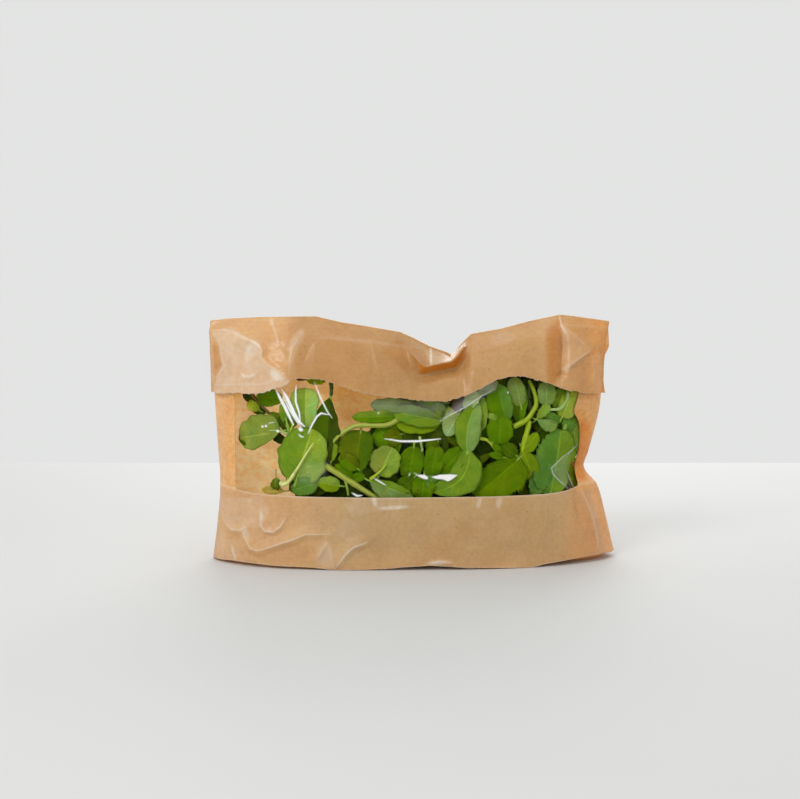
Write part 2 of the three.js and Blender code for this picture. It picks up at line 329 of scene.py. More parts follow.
def crumples(x, z, seed, count, box, reach, height):
    """Short ridges of seeded place, turn and length, strewn over a box (x0, x1, z0, z1)."""
    draw = np.random.default_rng(seed)
    total = np.zeros(x.shape)
    for _ in range(count):
        middle = np.array([draw.uniform(box[0], box[1]), draw.uniform(box[2], box[3])])
        turn, half = draw.uniform(0, np.pi), draw.uniform(3, 11)
        step = half * np.array([np.cos(turn), np.sin(turn)])
        bend = draw.uniform(-0.35, 0.35) * np.array([-step[1], step[0]])
        size = draw.choice([-1, 1]) * draw.uniform(0.4, 1)
        near = (np.abs(x - middle[0]) < half + reach) & (np.abs(z - middle[1]) < half + reach)
        path = [middle - step, middle + bend, middle + step]
        distance, _, share = along_line(x[near], z[near], path)
        taper = np.sin(np.pi * np.clip(share, 0.03, 0.97))
        total[near] += size * height * taper * np.clip(1 - distance / reach, 0, 1) ** 1.2
    return total


def unevenness(x, z, wave_sets, crumple_sets, creasing=1.0):
    """Sets of waves, and sets of crumples times the creasing, added up."""
    soft = sum(waves(x, z, *given) for given in wave_sets)
    return soft + creasing * sum(crumples(x, z, *given) for given in crumple_sets)


# ---- Materials -----------------------------------------------------------------------------


def linear(red, green, blue):
    """A colour given as 0 to 255 screen values, as linear light."""
    share = np.array([red, green, blue]) / 255
    return tuple(np.where(share <= 0.04045, share / 12.92, ((share + 0.055) / 1.055) ** 2.4))


class Nodes:
    """Short ways to add and join the nodes of one material or group."""

    def __init__(self, tree):
        self.tree = tree
        self.count = 0

    def add(self, kind, settings=None, **inputs):
        """A node with its settings and inputs, an input being a value or another socket."""
        node = self.tree.nodes.new(kind)
        node.location = (180 * self.count, -60 * (self.count % 5))
        self.count += 1
        for key, value in (settings or {}).items():
            setattr(node, key, value)
        for key, value in inputs.items():
            numbered = key[0] == "i" and key[1:].isdigit()
            socket = node.inputs[int(key[1:]) if numbered else key.replace("_", " ")]
            self.put(socket, value)
        return node

    def put(self, socket, value):
        """Links another socket to this one, or sets its value, a colour with its alpha."""
        if isinstance(value, bpy.types.NodeSocket):
            self.tree.links.new(value, socket)
        elif socket.type == "RGBA":
            socket.default_value = (*value, 1)
        else:
            socket.default_value = value

    def math(self, operation, a, b=0.0):
        """The result of one sum."""
        return self.add("ShaderNodeMath", {"operation": operation}, i0=a, i1=b).outputs[0]

    def weighted(self, *parts):
        """The sum of values, each times its weight, given as (weight, value) pairs."""
        total = 0.0
        for weight, value in parts:
            total = self.math("ADD", self.math("MULTIPLY", value, weight), total)
        return total

    def blend(self, share, a, b, kind="MIX"):
        """Two colours mixed by a share."""
        node = self.add("ShaderNodeMix", {"data_type": "RGBA", "blend_type": kind})
        for position, value in ((0, share), (6, a), (7, b)):
            self.put(node.inputs[position], value)
        return node.outputs[2]

    def tinted(self, share, color, tint):
        """A colour multiplied by a tint, as far as the share says."""
        return self.blend(share, color, tint, "MULTIPLY")

    def between(self, value, low, high, to_low=0.0, to_high=1.0):
        """A value carried from one range to another in a smooth S, and held there."""
        node = self.add("ShaderNodeMapRange", {"interpolation_type": "SMOOTHSTEP"})
        for k, number in enumerate((value, low, high, to_low, to_high)):
            self.put(node.inputs[k], number)
        return node.outputs[0]

    def noise(self, vector, scale, detail=3.0, roughness=0.55):
        """Soft noise of a scale per unit of the vector."""
        node = self.add("ShaderNodeTexNoise", Vector=vector, Scale=scale, Detail=detail,
                        Roughness=roughness)
        return node.outputs["Fac"]

    def patches(self, vector, scale, low, high, most=1.0, least=0.0, detail=3.0, roughness=0.55):
        """Soft patches: least where the noise is under low, and most where it is over high."""
        return self.between(self.noise(vector, scale, detail, roughness), low, high, least, most)

    def carried(self, vector, scale=(1.0, 1.0, 1.0), turn=(0.0, 0.0, 0.0), shift=(0.0, 0.0, 0.0)):
        """The vector stretched, turned and shifted, so that a pattern on it is so too."""
        node = self.add("ShaderNodeMapping", Vector=vector, Location=shift, Rotation=turn,
                        Scale=scale)
        return node.outputs[0]

    def attribute(self, name, output="Fac"):
        """A mark or colour that the mesh carries."""
        return self.add("ShaderNodeAttribute", {"attribute_name": name}).outputs[output]

    def bump(self, height, strength, distance, invert=False):
        """A normal bent by a height, which reaches so many metres."""
        node = self.add("ShaderNodeBump", {"invert": invert}, Height=height, Strength=strength,
                        Distance=distance)
        return node.outputs[0]

    def mixed(self, share, first, second):
        """Two shaders mixed by a share."""
        return self.add("ShaderNodeMixShader", i0=share, i1=first, i2=second).outputs[0]

    def lit_through(self, surface, share, color, tint):
        """A surface of which a share lets light through, in its own colour times a tint."""
        through = self.add("ShaderNodeBsdfTranslucent", Color=self.tinted(1.0, color, tint))
        return self.mixed(share, surface.outputs[0], through.outputs[0])

    def finish(self, shader):
        """Makes the shader the material's surface."""
        self.put(self.add("ShaderNodeOutputMaterial").inputs["Surface"], shader)


def new_material(name):
    """An empty node material, and the helper for its nodes."""
    material = bpy.data.materials.new(name)
    material.use_nodes = True
    material.node_tree.nodes.clear()
    return material, Nodes(material.node_tree)


def new_group(name, inputs, outputs):
    """A shader node group with (name, socket kind, default) inputs and (name, kind) outputs."""
    tree = bpy.data.node_groups.new(name, "ShaderNodeTree")
    for label, kind, default in inputs:
        socket = tree.interface.new_socket(label, in_out="INPUT", socket_type=kind)
        if default is not None:
            socket.default_value = default
    for label, kind in outputs:
        tree.interface.new_socket(label, in_out="OUTPUT", socket_type=kind)
    nodes = Nodes(tree)
    return tree, nodes, nodes.add("NodeGroupInput"), nodes.add("NodeGroupOutput")


def paper_grain_group():
    """Kraft pulp: cloudy mottling, short fibres and sparse dark specks, with their height.

    The mottling is a weighted sum of clouds, pulp and ribs that run across; a speck is the middle
    of a cell, in about a quarter of the cells.
    """
    name = "Paper grain"
    if name in bpy.data.node_groups:
        return bpy.data.node_groups[name]
    tree, nodes, given, result = new_group(
        name,
        [("Vector", "NodeSocketVector", None), ("Speck amount", "NodeSocketFloat", 0.5)],
        [("Mottle", "NodeSocketFloat"), ("Speck", "NodeSocketFloat"),
         ("Height", "NodeSocketFloat")])
    vector = given.outputs["Vector"]
    cloud = nodes.noise(vector, 55.0, 4.0, 0.6)
    pulp = nodes.noise(vector, 420.0, 4.0, 0.65)
    fibre = nodes.noise(nodes.carried(vector, (1.0, 1.0, 3.2)), 1500.0, 2.0, 0.7)
    rib = nodes.noise(nodes.carried(vector, (0.05, 0.05, 1.0)), 900.0, 2.0)
    mottle = nodes.weighted((0.4, cloud), (0.45, pulp), (0.12, rib))
    cells = nodes.add("ShaderNodeTexVoronoi", Vector=vector, Scale=190.0)
    near = nodes.between(cells.outputs["Distance"], 0.05, 0.12, 1.0, 0.0)
    chosen = nodes.math("GREATER_THAN", cells.outputs["Color"], 0.72)
    speck = nodes.math("MULTIPLY", near, chosen)
    speck = nodes.math("MULTIPLY", speck, given.outputs["Speck amount"])
    nodes.put(result.inputs["Mottle"], nodes.between(mottle, 0.38, 0.62))
    nodes.put(result.inputs["Speck"], speck)
    nodes.put(result.inputs["Height"], nodes.weighted((0.4, fibre), (0.45, pulp)))
    return tree


def leaf_vein_group():
    """Veins of a mint leaf from its UV: across in u, stalk to tip in v.

    The midrib lies where u is a half. Side veins lie halfway between the places where
    count * (v - 0.3 |2u - 1|^1.15) is whole, moved and broken a little by noise.
    """
    name = "Leaf veins"
    if name in bpy.data.node_groups:
        return bpy.data.node_groups[name]
    tree, nodes, given, result = new_group(
        name,
        [("Vector", "NodeSocketVector", None), ("Place", "NodeSocketVector", None),
         ("Side veins", "NodeSocketFloat", 7.0)],
        [("Vein", "NodeSocketFloat"), ("Midrib", "NodeSocketFloat"),
         ("Net", "NodeSocketFloat"), ("Height", "NodeSocketFloat")])
    place = given.outputs["Place"]
    u, v = nodes.add("ShaderNodeSeparateXYZ", Vector=given.outputs["Vector"]).outputs[:2]
    across = nodes.math("ABSOLUTE", nodes.math("SUBTRACT", nodes.math("MULTIPLY", u, 2.0), 1.0))
    phase = nodes.weighted((1.0, v), (-0.3, nodes.math("POWER", across, 1.15)),
                           (0.24, nodes.noise(place, 110.0)))
    phase = nodes.math("MULTIPLY", phase, given.outputs["Side veins"])
    away = nodes.math("ABSOLUTE", nodes.math("SUBTRACT", nodes.math("FRACT", phase), 0.5))
    vein = nodes.between(away, 0.0, 0.085, 1.0, 0.0)
    vein = nodes.math("MULTIPLY", vein, nodes.between(across, 0.55, 1.0, 1.0, 0.15))
    vein = nodes.math("MULTIPLY", vein,
                      nodes.patches(place, 190.0, 0.42, 0.6, least=0.15, detail=2.0))
    midrib = nodes.between(across, 0.015, 0.075, 1.0, 0.0)
    cells = nodes.add("ShaderNodeTexVoronoi", {"feature": "DISTANCE_TO_EDGE"},
                      Vector=given.outputs["Vector"], Scale=22.0)
    net = nodes.between(cells.outputs["Distance"], 0.0, 0.12, 1.0, 0.0)
    height = nodes.weighted((1.0, nodes.math("MAXIMUM", vein, midrib)), (0.3, net))
    for label, value in (("Vein", vein), ("Midrib", midrib), ("Net", net), ("Height", height)):
        nodes.put(result.inputs[label], value)
    return tree


# Tints that multiply the paper's colour, with the inner side's own where it has one; the dim and
# shaded tints paint shade, and the lit-through tints colour the light that comes through.
MOTTLED = (0.8, 0.74, 0.66)
MOTTLED_INSIDE = (0.96, 0.82, 0.68)
CLOUDED = (1.0, 0.88, 0.74)
COOLER = (0.97, 0.94, 1.06)
CRINKLED = (0.95, 0.74, 0.46)
DIM_SHADE = (0.66, 0.58, 0.36)
SHADED = (0.97, 0.54, 0.05)
SHADED_INSIDE = (0.66, 0.38, 0.06)
LIT_THROUGH = (1.3, 1.9, 2.6)
LIT_THROUGH_INSIDE = (1.5, 1.85, 2.4)


def kraft_material(name, coated, light=False):
    """Brown paper: mottled pulp, specks, paler creases, and some light that comes through.

    Its marks paint light and shade into its colour: a lighter, more orange glow where one layer
    lets light through, shade where mint lies behind it, under the flap and at folds, and
    highlights where the film catches the light. The front is under clear film, so it has a glossy
    coat; the back is bare and matt, and its inner side is painted lighter, as lit through the back.
    """
    if name in bpy.data.materials:
        return bpy.data.materials[name]
    colors = bpy.context.scene.mint_pack_colors
    # The inner side's colour is painted lighter, as lit through the back.
    plain = tuple(colors.kraft_inside_lit if light else colors.kraft)
    bare = tuple(colors.kraft_inside_lit if light else colors.kraft_single_glow)
    pale = tuple(colors.crease)
    material, nodes = new_material(name)
    place = nodes.add("ShaderNodeTexCoord").outputs["Object"]
    grain = nodes.add("ShaderNodeGroup", {"node_tree": paper_grain_group()}, Vector=place,
                      Speck_amount=0.8 if coated else 0.5)
    mottle = grain.outputs["Mottle"]
    # Painted glow: where one layer of paper lets light through, it is lighter and more orange.
    single = nodes.attribute("Single")
    base = nodes.blend(single, plain, bare)
    base = nodes.tinted(nodes.math("MULTIPLY", mottle, 0.6), base,
                        MOTTLED_INSIDE if light else MOTTLED)
    base = nodes.tinted(nodes.patches(place, 14.0, 0.35, 0.7, 0.45, detail=2.0), base, CLOUDED)
    base = nodes.tinted(nodes.patches(place, 75.0, 0.4, 0.62, 0.5, detail=2.0), base, COOLER)
    thin = 0.62 if light else nodes.math("MULTIPLY", single, 0.6)
    slanted = nodes.carried(place, (0.55, 1.0, 1.0), (0.0, 0.35, 0.0))
    wrinkled = nodes.patches(slanted, 330.0, 0.43, 0.6, detail=6.0, roughness=0.75)
    base = nodes.tinted(nodes.math("MULTIPLY", wrinkled, thin), base, CRINKLED)
    drawn_out = nodes.carried(place, (0.35, 1.0, 1.0))
    fibres = nodes.patches(drawn_out, 700.0, 0.56, 0.7, 0.5, roughness=0.7)
    base = nodes.blend(nodes.math("MULTIPLY", fibres, thin), base, pale)
    # Painted shade where mint lies behind the paper, and dimness as painted shade on the flap.
    if not light:
        base = nodes.tinted(nodes.attribute("BackedShade"), base, tuple(colors.kraft_backed_shade))
        base = nodes.tinted(nodes.attribute("DimShade"), base, DIM_SHADE)
    speck = nodes.math("MULTIPLY", grain.outputs["Speck"], 0.75)
    base = nodes.blend(speck, base, tuple(0.25 * c for c in plain))
    # Painted highlights: patches, broken into streaks, where the film catches the light.
    streaky = nodes.carried(place, (1.0, 1.0, 0.6), (0.0, 0.9, 0.0))
    patchy = nodes.patches(streaky, 210.0, 0.4, 0.62, least=0.62, detail=4.0, roughness=0.6)
    base = nodes.blend(nodes.math("MULTIPLY", nodes.attribute("SheenPatch"), patchy), base, pale)
    # Pale creases: partly the paper's own paleness, partly painted highlight.
    base = nodes.blend(nodes.attribute("Crease"), base, pale)
    # Painted shade: darker and redder at folds, under the notch's crest and, on the inner side,
    # under the flap.
    base = nodes.tinted(nodes.attribute("Inside" if light else "Shade"), base,
                        SHADED_INSIDE if light else SHADED)
    smooth, rough = (0.42, 0.6) if coated else (0.72, 0.88)
    surface = nodes.add(
        "ShaderNodeBsdfPrincipled", Base_Color=base, Specular_IOR_Level=0.4,
        Roughness=nodes.between(mottle, 0.0, 1.0, smooth, rough),
        Normal=nodes.bump(grain.outputs["Height"], 0.22 if coated else 0.35, 0.0004))
    if coated:
        nodes.put(surface.inputs["Coat Weight"], nodes.between(single, 0.0, 1.0, 0.45, 0.1))
        nodes.put(surface.inputs["Coat Roughness"], 0.2)
    nodes.finish(nodes.lit_through(surface, 0.16 if coated else 0.55, base,
                                   LIT_THROUGH_INSIDE if light else LIT_THROUGH))
    return material


def film_material():
    """Clear film: mirror-like by Fresnel, clear otherwise, with painted white highlights along its
    creases and at glints, and whitened hazy places, partly painted sheen.
    """
    colors = bpy.context.scene.mint_pack_colors
    material, nodes = new_material("clear_film")
    place = nodes.add("ShaderNodeTexCoord").outputs["Object"]
    ripples = nodes.bump(nodes.noise(place, 60.0, 2.0), 0.25, 0.0008)
    clear = nodes.add("ShaderNodeBsdfTransparent", Color=(0.985, 0.99, 0.985))
    shine = nodes.add("ShaderNodeBsdfGlossy", Color=(1, 1, 1), Roughness=0.07, Normal=ripples)
    fresnel = nodes.add("ShaderNodeFresnel", IOR=1.09, Normal=ripples)
    skin = nodes.mixed(fresnel.outputs[0], clear.outputs[0], shine.outputs[0])
    white = nodes.add("ShaderNodeBsdfPrincipled", Base_Color=tuple(colors.film_highlight),
                      Roughness=0.3)
    # Painted highlights along creases and at glints; hazy places are partly the film's own haze and
    # partly painted sheen.
    cover = nodes.math("MAXIMUM", nodes.attribute("Crease"), nodes.attribute("HazeAndSheen"))
    nodes.finish(nodes.mixed(cover, skin, white.outputs[0]))
    return material


# Tints that multiply a leaf's green.
LEAF_CLOUDED = (0.55, 0.68, 0.35)
LEAF_WARMER = (1.28, 1.04, 0.4)
LEAF_COOLER = (0.74, 1.0, 1.45)
LEAF_GRAIN = (0.72, 0.8, 0.6)
LEAF_VEINS = (1.75, 1.55, 1.9)
LEAF_NET = (0.68, 0.76, 0.58)
LEAF_LIT_THROUGH = (0.95, 1.0, 0.3)


def leaf_material(name, side_veins, gloss):
    """A mint leaf: its own green, veins, a fine net, brown flecks, and light through it."""
    if name in bpy.data.materials:
        return bpy.data.materials[name]
    colors = bpy.context.scene.mint_pack_colors
    material, nodes = new_material(name)
    coordinates = nodes.add("ShaderNodeTexCoord")
    place = coordinates.outputs["Object"]
    veins = nodes.add("ShaderNodeGroup", {"node_tree": leaf_vein_group()},
                      Vector=coordinates.outputs["UV"], Place=place, Side_veins=side_veins)
    cloud = nodes.noise(place, 130.0)
    base = nodes.tinted(nodes.between(cloud, 0.3, 0.7, 0.0, 0.55),
                        nodes.attribute("Tint", "Color"), LEAF_CLOUDED)
    warmer = nodes.patches(place, 85.0, 0.5, 0.66, 0.5, roughness=0.6)
    base = nodes.tinted(warmer, base, LEAF_WARMER)
    elsewhere = nodes.carried(place, shift=(0.4, 0.2, 0.7))
    cooler = nodes.patches(elsewhere, 100.0, 0.5, 0.66, 0.5, roughness=0.6)
    base = nodes.tinted(cooler, base, LEAF_COOLER)
    grain = nodes.patches(place, 900.0, 0.42, 0.62, 0.3, detail=4.0, roughness=0.7)
    base = nodes.tinted(grain, base, LEAF_GRAIN)
    lines = nodes.math("MAXIMUM", veins.outputs["Vein"], veins.outputs["Midrib"])
    paleness = nodes.between(nodes.attribute("Under"), 0.0, 1.0, 0.66, 0.8)
    base = nodes.tinted(nodes.math("MULTIPLY", lines, paleness), base, LEAF_VEINS)
    base = nodes.tinted(nodes.math("MULTIPLY", veins.outputs["Net"], 0.3), base, LEAF_NET)
    flecks = nodes.patches(place, 330.0, 0.58, 0.66, roughness=0.7)
    flecks = nodes.math("MULTIPLY", flecks, nodes.attribute("Spots"))
    base = nodes.blend(flecks, base, tuple(colors.leaf_spot))
    surface = nodes.add(
        "ShaderNodeBsdfPrincipled", Base_Color=base, Specular_IOR_Level=0.03,
        Roughness=nodes.between(cloud, 0.3, 0.7, gloss - 0.08, gloss + 0.1),
        Normal=nodes.bump(veins.outputs["Height"], 0.5, 0.0005, invert=True))
    nodes.finish(nodes.lit_through(surface, 0.3, base, LEAF_LIT_THROUGH))
    return material


def stem_material():
    """Juicy stems: yellow-green, darker fibres lengthways, a brown flush and a soft gloss."""
    colors = bpy.context.scene.mint_pack_colors
    material, nodes = new_material("mint_stem")
    coordinates = nodes.add("ShaderNodeTexCoord")
    streak = nodes.noise(nodes.carried(coordinates.outputs["UV"], (14.0, 1.0, 1.0)), 2.0)
    base = nodes.tinted(nodes.between(streak, 0.36, 0.62), nodes.attribute("Tint", "Color"),
                        (0.6, 0.72, 0.42))
    flush = nodes.patches(coordinates.outputs["Object"], 90.0, 0.6, 0.74, 0.4, detail=2.0)
    base = nodes.blend(flush, base, tuple(colors.leaf_spot))
    surface = nodes.add("ShaderNodeBsdfPrincipled", Base_Color=base, Roughness=0.42,
                        Normal=nodes.bump(streak, 0.4, 0.0004))
    nodes.finish(surface.outputs[0])
    return material


def heap_material():
    """The heap's deep inside: very dark green, mostly painted shade, with leaf-sized patches."""
    colors = bpy.context.scene.mint_pack_colors
    material, nodes = new_material("mint_heap")
    place = nodes.add("ShaderNodeTexCoord").outputs["Object"]
    cells = nodes.add("ShaderNodeTexVoronoi", Vector=place, Scale=75.0).outputs["Distance"]
    dark = tuple(colors.heap)
    light = tuple(2.2 * c for c in dark)
    base = nodes.blend(nodes.math("MULTIPLY", cells, 1.4), dark, light)
    surface = nodes.add("ShaderNodeBsdfPrincipled", Base_Color=base, Roughness=0.6,
                        Normal=nodes.bump(cells, 0.8, 0.003))
    nodes.finish(surface.outputs[0])
    return material


def floor_material(color):
    """A matt pale table with the faintest unevenness."""
    material, nodes = new_material("pale_floor")
    place = nodes.add("ShaderNodeTexCoord").outputs["Object"]
    base = nodes.blend(nodes.patches(place, 3.0, 0.3, 0.7, detail=2.0), tuple(color),
                       tuple(0.985 * c for c in color))
    surface = nodes.add("ShaderNodeBsdfPrincipled", Base_Color=base, Roughness=0.7,
                        Specular_IOR_Level=0.15)
    nodes.finish(surface.outputs[0])
    return material


# ---- The paper -----------------------------------------------------------------------------

# Creases in the paper, as pixels of the photograph that they pass through.
BAND_CREASES = [
    Crease([(261.3, 513), (262.2, 526.4), (265.7, 531), (273, 531.8), (280, 527.3),
            (286.3, 516.6)], 1.2, 4, 3, 0.5, 0.55),
    Crease([(223.8, 521), (231.8, 529), (240.7, 530), (248, 525.5)], 1.0, 3, 4, 0.3, 0.7),
    Crease([(248, 525.5), (245, 535.4), (251.4, 548), (258.6, 550.5), (276.4, 545),
            (294, 539), (305, 534.5), (330, 534)], 1.5, 6, 4, 0.5, 0.5),
    Crease([(327.3, 540.7), (314.8, 564)], 0.9, 3, 5, 0.15, 0.6),
    Crease([(327.3, 540.7), (334.5, 569.3)], 1.1, 5, 3, 0.15, 0.6),
    Crease([(334.5, 569), (346, 554), (353, 547.5), (367.5, 542)], 1.7, 7, 4, 0.55, 0.55),
    Crease([(232, 545), (236, 561)], 0.5, 3, 3, 0.35, 0.8),
    Crease([(352, 497), (360, 520), (364, 530)], 0.4, 5, 5, 0.0, 0.8),
    Crease([(578.9, 485), (590.5, 515.5), (598.9, 552.3)], 1.6, 5, 6, 0.3, 0.8),
    Crease([(575, 490), (581, 523)], -1.4, 4, 4, 0.0, 0.8),
    Crease([(430, 563), (440, 561.5), (452, 563)], 0.6, 2, 3, 0.45, 0.9),
]
# Painted highlights, where the film over the paper catches the light: middle, half sizes, strength.
SheenPatch = collections.namedtuple("SheenPatch", "spot wide high turn strength")
BAND_SHEEN = [
    SheenPatch((374.6, 501), 1.6, 4, 10, 0.75), SheenPatch((393, 507.5), 8.5, 1.3, 3, 0.75),
    SheenPatch((479, 503), 1.5, 3.2, -12, 0.5), SheenPatch((499, 502.5), 1.7, 3.2, -12, 0.55),
    SheenPatch((262, 516), 1.3, 3.4, 0, 0.55), SheenPatch((231, 521), 5, 3.5, -25, 0.3),
    SheenPatch((246, 533), 2.2, 5, 20, 0.35), SheenPatch((325, 556), 4.5, 6.5, 0, 0.3),
    SheenPatch((251, 501), 3, 0.8, 0, 0.35), SheenPatch((238, 518), 3, 1.5, 30, 0.3),
    SheenPatch((234, 553), 1.4, 4, 15, 0.3), SheenPatch((436, 563), 5, 1.2, 0, 0.5),
    SheenPatch((222, 545), 3, 9, 0, 0.18), SheenPatch((350, 528), 12, 6, 20, 0.1),
    SheenPatch((355, 510), 6, 3.5, -30, 0.16),
]
FLAP_CREASES = [
    Crease([(303, 332), (297, 341), (292, 352), (289.5, 363), (289, 375)], 1.7, 9, 14, 0.08, 0.7),
    Crease([(211, 331.7), (229, 331), (239, 336.5), (249.8, 340.8), (259.5, 345.6), (262, 351),
            (261.4, 358.3), (268.6, 365.6), (282.6, 373.5)], 1.8, 3.5, 7, 0.4, 0.6),
    Crease([(220, 347), (224, 366), (216, 378)], 0.9, 6, 3, 0.4, 0.8),
    Crease([(241, 373), (244, 377), (250, 377), (255, 374)], 0.6, 2, 3, 0.5, 0.7),
    Crease([(271, 320), (273, 328), (277, 338), (279, 345)], 0.9, 5, 5, 0.3, 0.8),
    Crease([(313, 338), (340, 340), (370, 343), (420, 348)], 0.7, 5, 8, 0.08, 1.0),
    Crease([(279, 345), (284, 356), (290, 352)], -0.6, 6, 6, 0.0, 0.8),
    Crease([(370, 343), (374, 356), (377, 370)], 0.4, 5, 5, 0.1, 0.8),
]
PEAK_CREASES = [
    Crease([(559.5, 315.4), (561.7, 326), (565.7, 334)], 0.8, 2, 2, 0.6, 0.6),
    Crease([(563, 325), (576, 327), (606.8, 328)], 0.8, 3, 4, 0.12, 0.8),
    Crease([(562, 326), (577, 338), (590.7, 350)], 0.8, 5, 3, 0.2, 0.7),
    Crease([(590.7, 350), (577, 359.5), (564.4, 369.4)], 1.8, 3, 8, 0.4, 0.7),
    Crease([(592, 356), (594, 372), (592, 390)], 0.8, 5, 4, 0.1, 0.8),
]
PEAK_VALLEY = [(560, 318), (565, 345), (563, 375)]
PEAK_VALLEY_DEPTH = 3.2
# How far the valley reaches to the right and to the left of its path.
PEAK_VALLEY_REACH = (10.5, 3.5)
FLAP_SHEEN = [
    SheenPatch((252, 350), 5, 4, -35, 0.8), SheenPatch((247, 357), 3, 4, 20, 0.55),
    SheenPatch((275, 375), 5.2, 3, -35, 0.85), SheenPatch((256, 345), 3.4, 1.4, -35, 0.9),
    SheenPatch((242, 361), 4.5, 9, 0, 0.28), SheenPatch((229, 350), 7, 11, 0, 0.16),
    SheenPatch((238, 338), 6, 2.5, -30, 0.4), SheenPatch((212.5, 366), 1.3, 17, 0, 0.3),
    SheenPatch((247, 378), 5, 1.6, 0, 0.3), SheenPatch((245, 388), 16, 3.5, 0, 0.14),
    SheenPatch((297, 340), 3.2, 6, -30, 0.3), SheenPatch((271, 322), 1.2, 3, 10, 0.35),
    SheenPatch((567, 368), 1.5, 2.6, 0, 0.7), SheenPatch((577, 349), 7.5, 7, 0, 0.14),
    SheenPatch((431, 357), 0.8, 4.5, 0, 0.85), SheenPatch((427, 365.5), 3, 0.7, 10, 0.7),
    SheenPatch((503, 338), 8, 3.5, 20, 0.12), SheenPatch((596, 372), 2, 10, 0, 0.14),
]

# Areas of the paper with painted light where facets face the light, and painted shade where they
# turn away from it, as the pixels of their corners and how much.
FLAP_LIGHT = [
    ([(212, 333), (229, 332), (240, 337), (250, 341.5), (259, 346), (261.5, 351), (261, 358),
      (268, 366), (282, 374), (290, 381), (287, 391), (262, 397), (235, 397), (212, 392),
      (217, 378), (224, 366), (220, 347)], 0.42),
    ([(244, 345), (260, 347), (262, 352), (259, 360), (250, 368), (245, 360)], 0.32),
    ([(266, 367), (283, 374), (285, 379), (276, 383), (269, 376)], 0.5),
    ([(303, 332), (300, 345), (294, 360), (289, 374), (290, 352)], 0.2),
    ([(563, 327), (590.7, 350), (564.4, 369.4)], 0.2),
    ([(494, 337), (512, 334), (506, 344), (497, 343)], 0.1),
    ([(425, 351), (449, 358), (451, 361), (431, 364)], 0.22),
    ([(592, 356), (600, 352), (601, 392), (590, 390)], 0.1),
]
FLAP_DARK = [
    ([(546, 330), (560, 318), (564, 345), (562, 374), (550, 392), (546, 370)], 0.6),
    ([(398, 338), (423, 350), (431, 365), (422, 372), (406, 372), (382, 352)], 0.3),
    ([(211, 342), (219, 349), (223, 364), (216, 376), (211, 372)], 0.3),
    ([(262, 322), (300, 322), (300, 332), (290, 345), (284, 372), (268, 364), (263, 346)], 0.14),
    ([(592, 328), (607, 330), (601, 352), (591, 350), (575, 336)], 0.16),
    ([(300, 345), (380, 350), (410, 372), (380, 394), (335, 384), (296, 377)], 0.1),
]
BAND_LIGHT = [
    ([(218, 496), (262, 496), (270, 512), (262, 526), (246, 528), (232, 530), (222, 521)], 0.18),
    ([(335, 569), (316, 564), (326, 541)], 0.25),
    ([(335, 568), (346, 554), (353, 547), (367, 542), (345, 565)], 0.1),
    ([(217, 540), (235, 538), (242, 556), (216, 560)], 0.14),
    ([(350, 498), (400, 498), (404, 508), (362, 514)], 0.12),
    ([(585, 488), (596, 492), (611, 551), (600, 553), (591, 515)], 0.12),
    ([(211, 398), (223, 398), (226, 440), (224, 498), (215, 498)], 0.12),
]
BAND_DARK = [
    ([(250, 548), (276, 546), (300, 540), (322, 537), (315, 563), (262, 562)], 0.1),
    ([(574, 488), (585, 492), (588, 520), (580, 530)], 0.22),
    ([(420, 545), (460, 520), (480, 530), (440, 560)], 0.08),
]


def area_marks(x, z, areas, behind=0.0, soft=1.6):
    """The strongest of the areas at each place."""
    total = np.zeros(x.shape)
    for corners, strength in areas:
        outline = [on_front(spot, behind)[[0, 2]] for spot in corners]
        total = np.maximum(total, strength * inside_area(x, z, outline, soft))
    return total


def sheen_patches(x, z, patches, behind=0.0):
    """How strong the painted highlight is at each place: soft-edged ellipses turned about their
    middles.
    """
    total = np.zeros(x.shape)
    for patch in patches:
        middle = on_front(patch.spot, behind)
        turn = math.radians(patch.turn)
        along = (x - middle[0]) * math.cos(turn) + (z - middle[2]) * math.sin(turn)
        across = (z - middle[2]) * math.cos(turn) - (x - middle[0]) * math.sin(turn)
        radius = np.hypot(along / patch.wide, across / patch.high)
        total = np.maximum(total, patch.strength * ease(1.5 - radius))
    return total


def paper_marks(shape, **given):
    """Every mark that the paper's materials read, the ones not given being nothing."""
    names = ("Crease", "SheenPatch", "Single", "Shade", "BackedShade", "DimShade", "Inside")
    return {name: given.get(name, np.zeros(shape)) for name in names}


# Waves as (seed, longest, size) and crumples as (seed, count, (x0, x1, z0, z1), reach, height).
FRONT_WAVES = [(3, 90, 0.5), (4, 22, 0.1)]
FRONT_CRUMPLES = [(11, 40, (-126, -60, 4, 46), 4, 0.35), (12, 40, (-60, 120, 3, 44), 5, 0.22)]
STRIP_CRUMPLES = [(13, 60, (-128, 122, 46, 120), 5, 0.5)]
BACK_WAVES = [(7, 80, 0.8), (8, 26, 0.25)]
BACK_CRUMPLES = [(17, 46, (-118, 118, 22, 140), 8, 1.4), (18, 150, (-122, 118, 8, 146), 4, 0.8)]
FLAP_WAVES = [(9, 95, 0.7), (10, 24, 0.12)]
FLAP_CRUMPLES = [(21, 20, (-126, -70, 110, 150), 6, 0.5), (22, 22, (-60, 120, 110, 150), 8, 0.25)]
FILM_WAVES = [(31, 40, 0.25), (32, 14, 0.06)]
FILM_CRUMPLES = [(33, 50, (-112, 104, 48, 118), 4, 0.25)]
# How much the creases' heights are raised, so that they show as in the photograph.
FRONT_CREASING = 1.3
FLAP_CREASING = 1.2


def stop_to_stop(t, stops):
    """Straight from each stop to the next one, as t goes from one whole number to the next."""
    return stops[0] + sum((b - a) * np.clip(t - k, 0, 1)
                          for k, (a, b) in enumerate(zip(stops, stops[1:])))


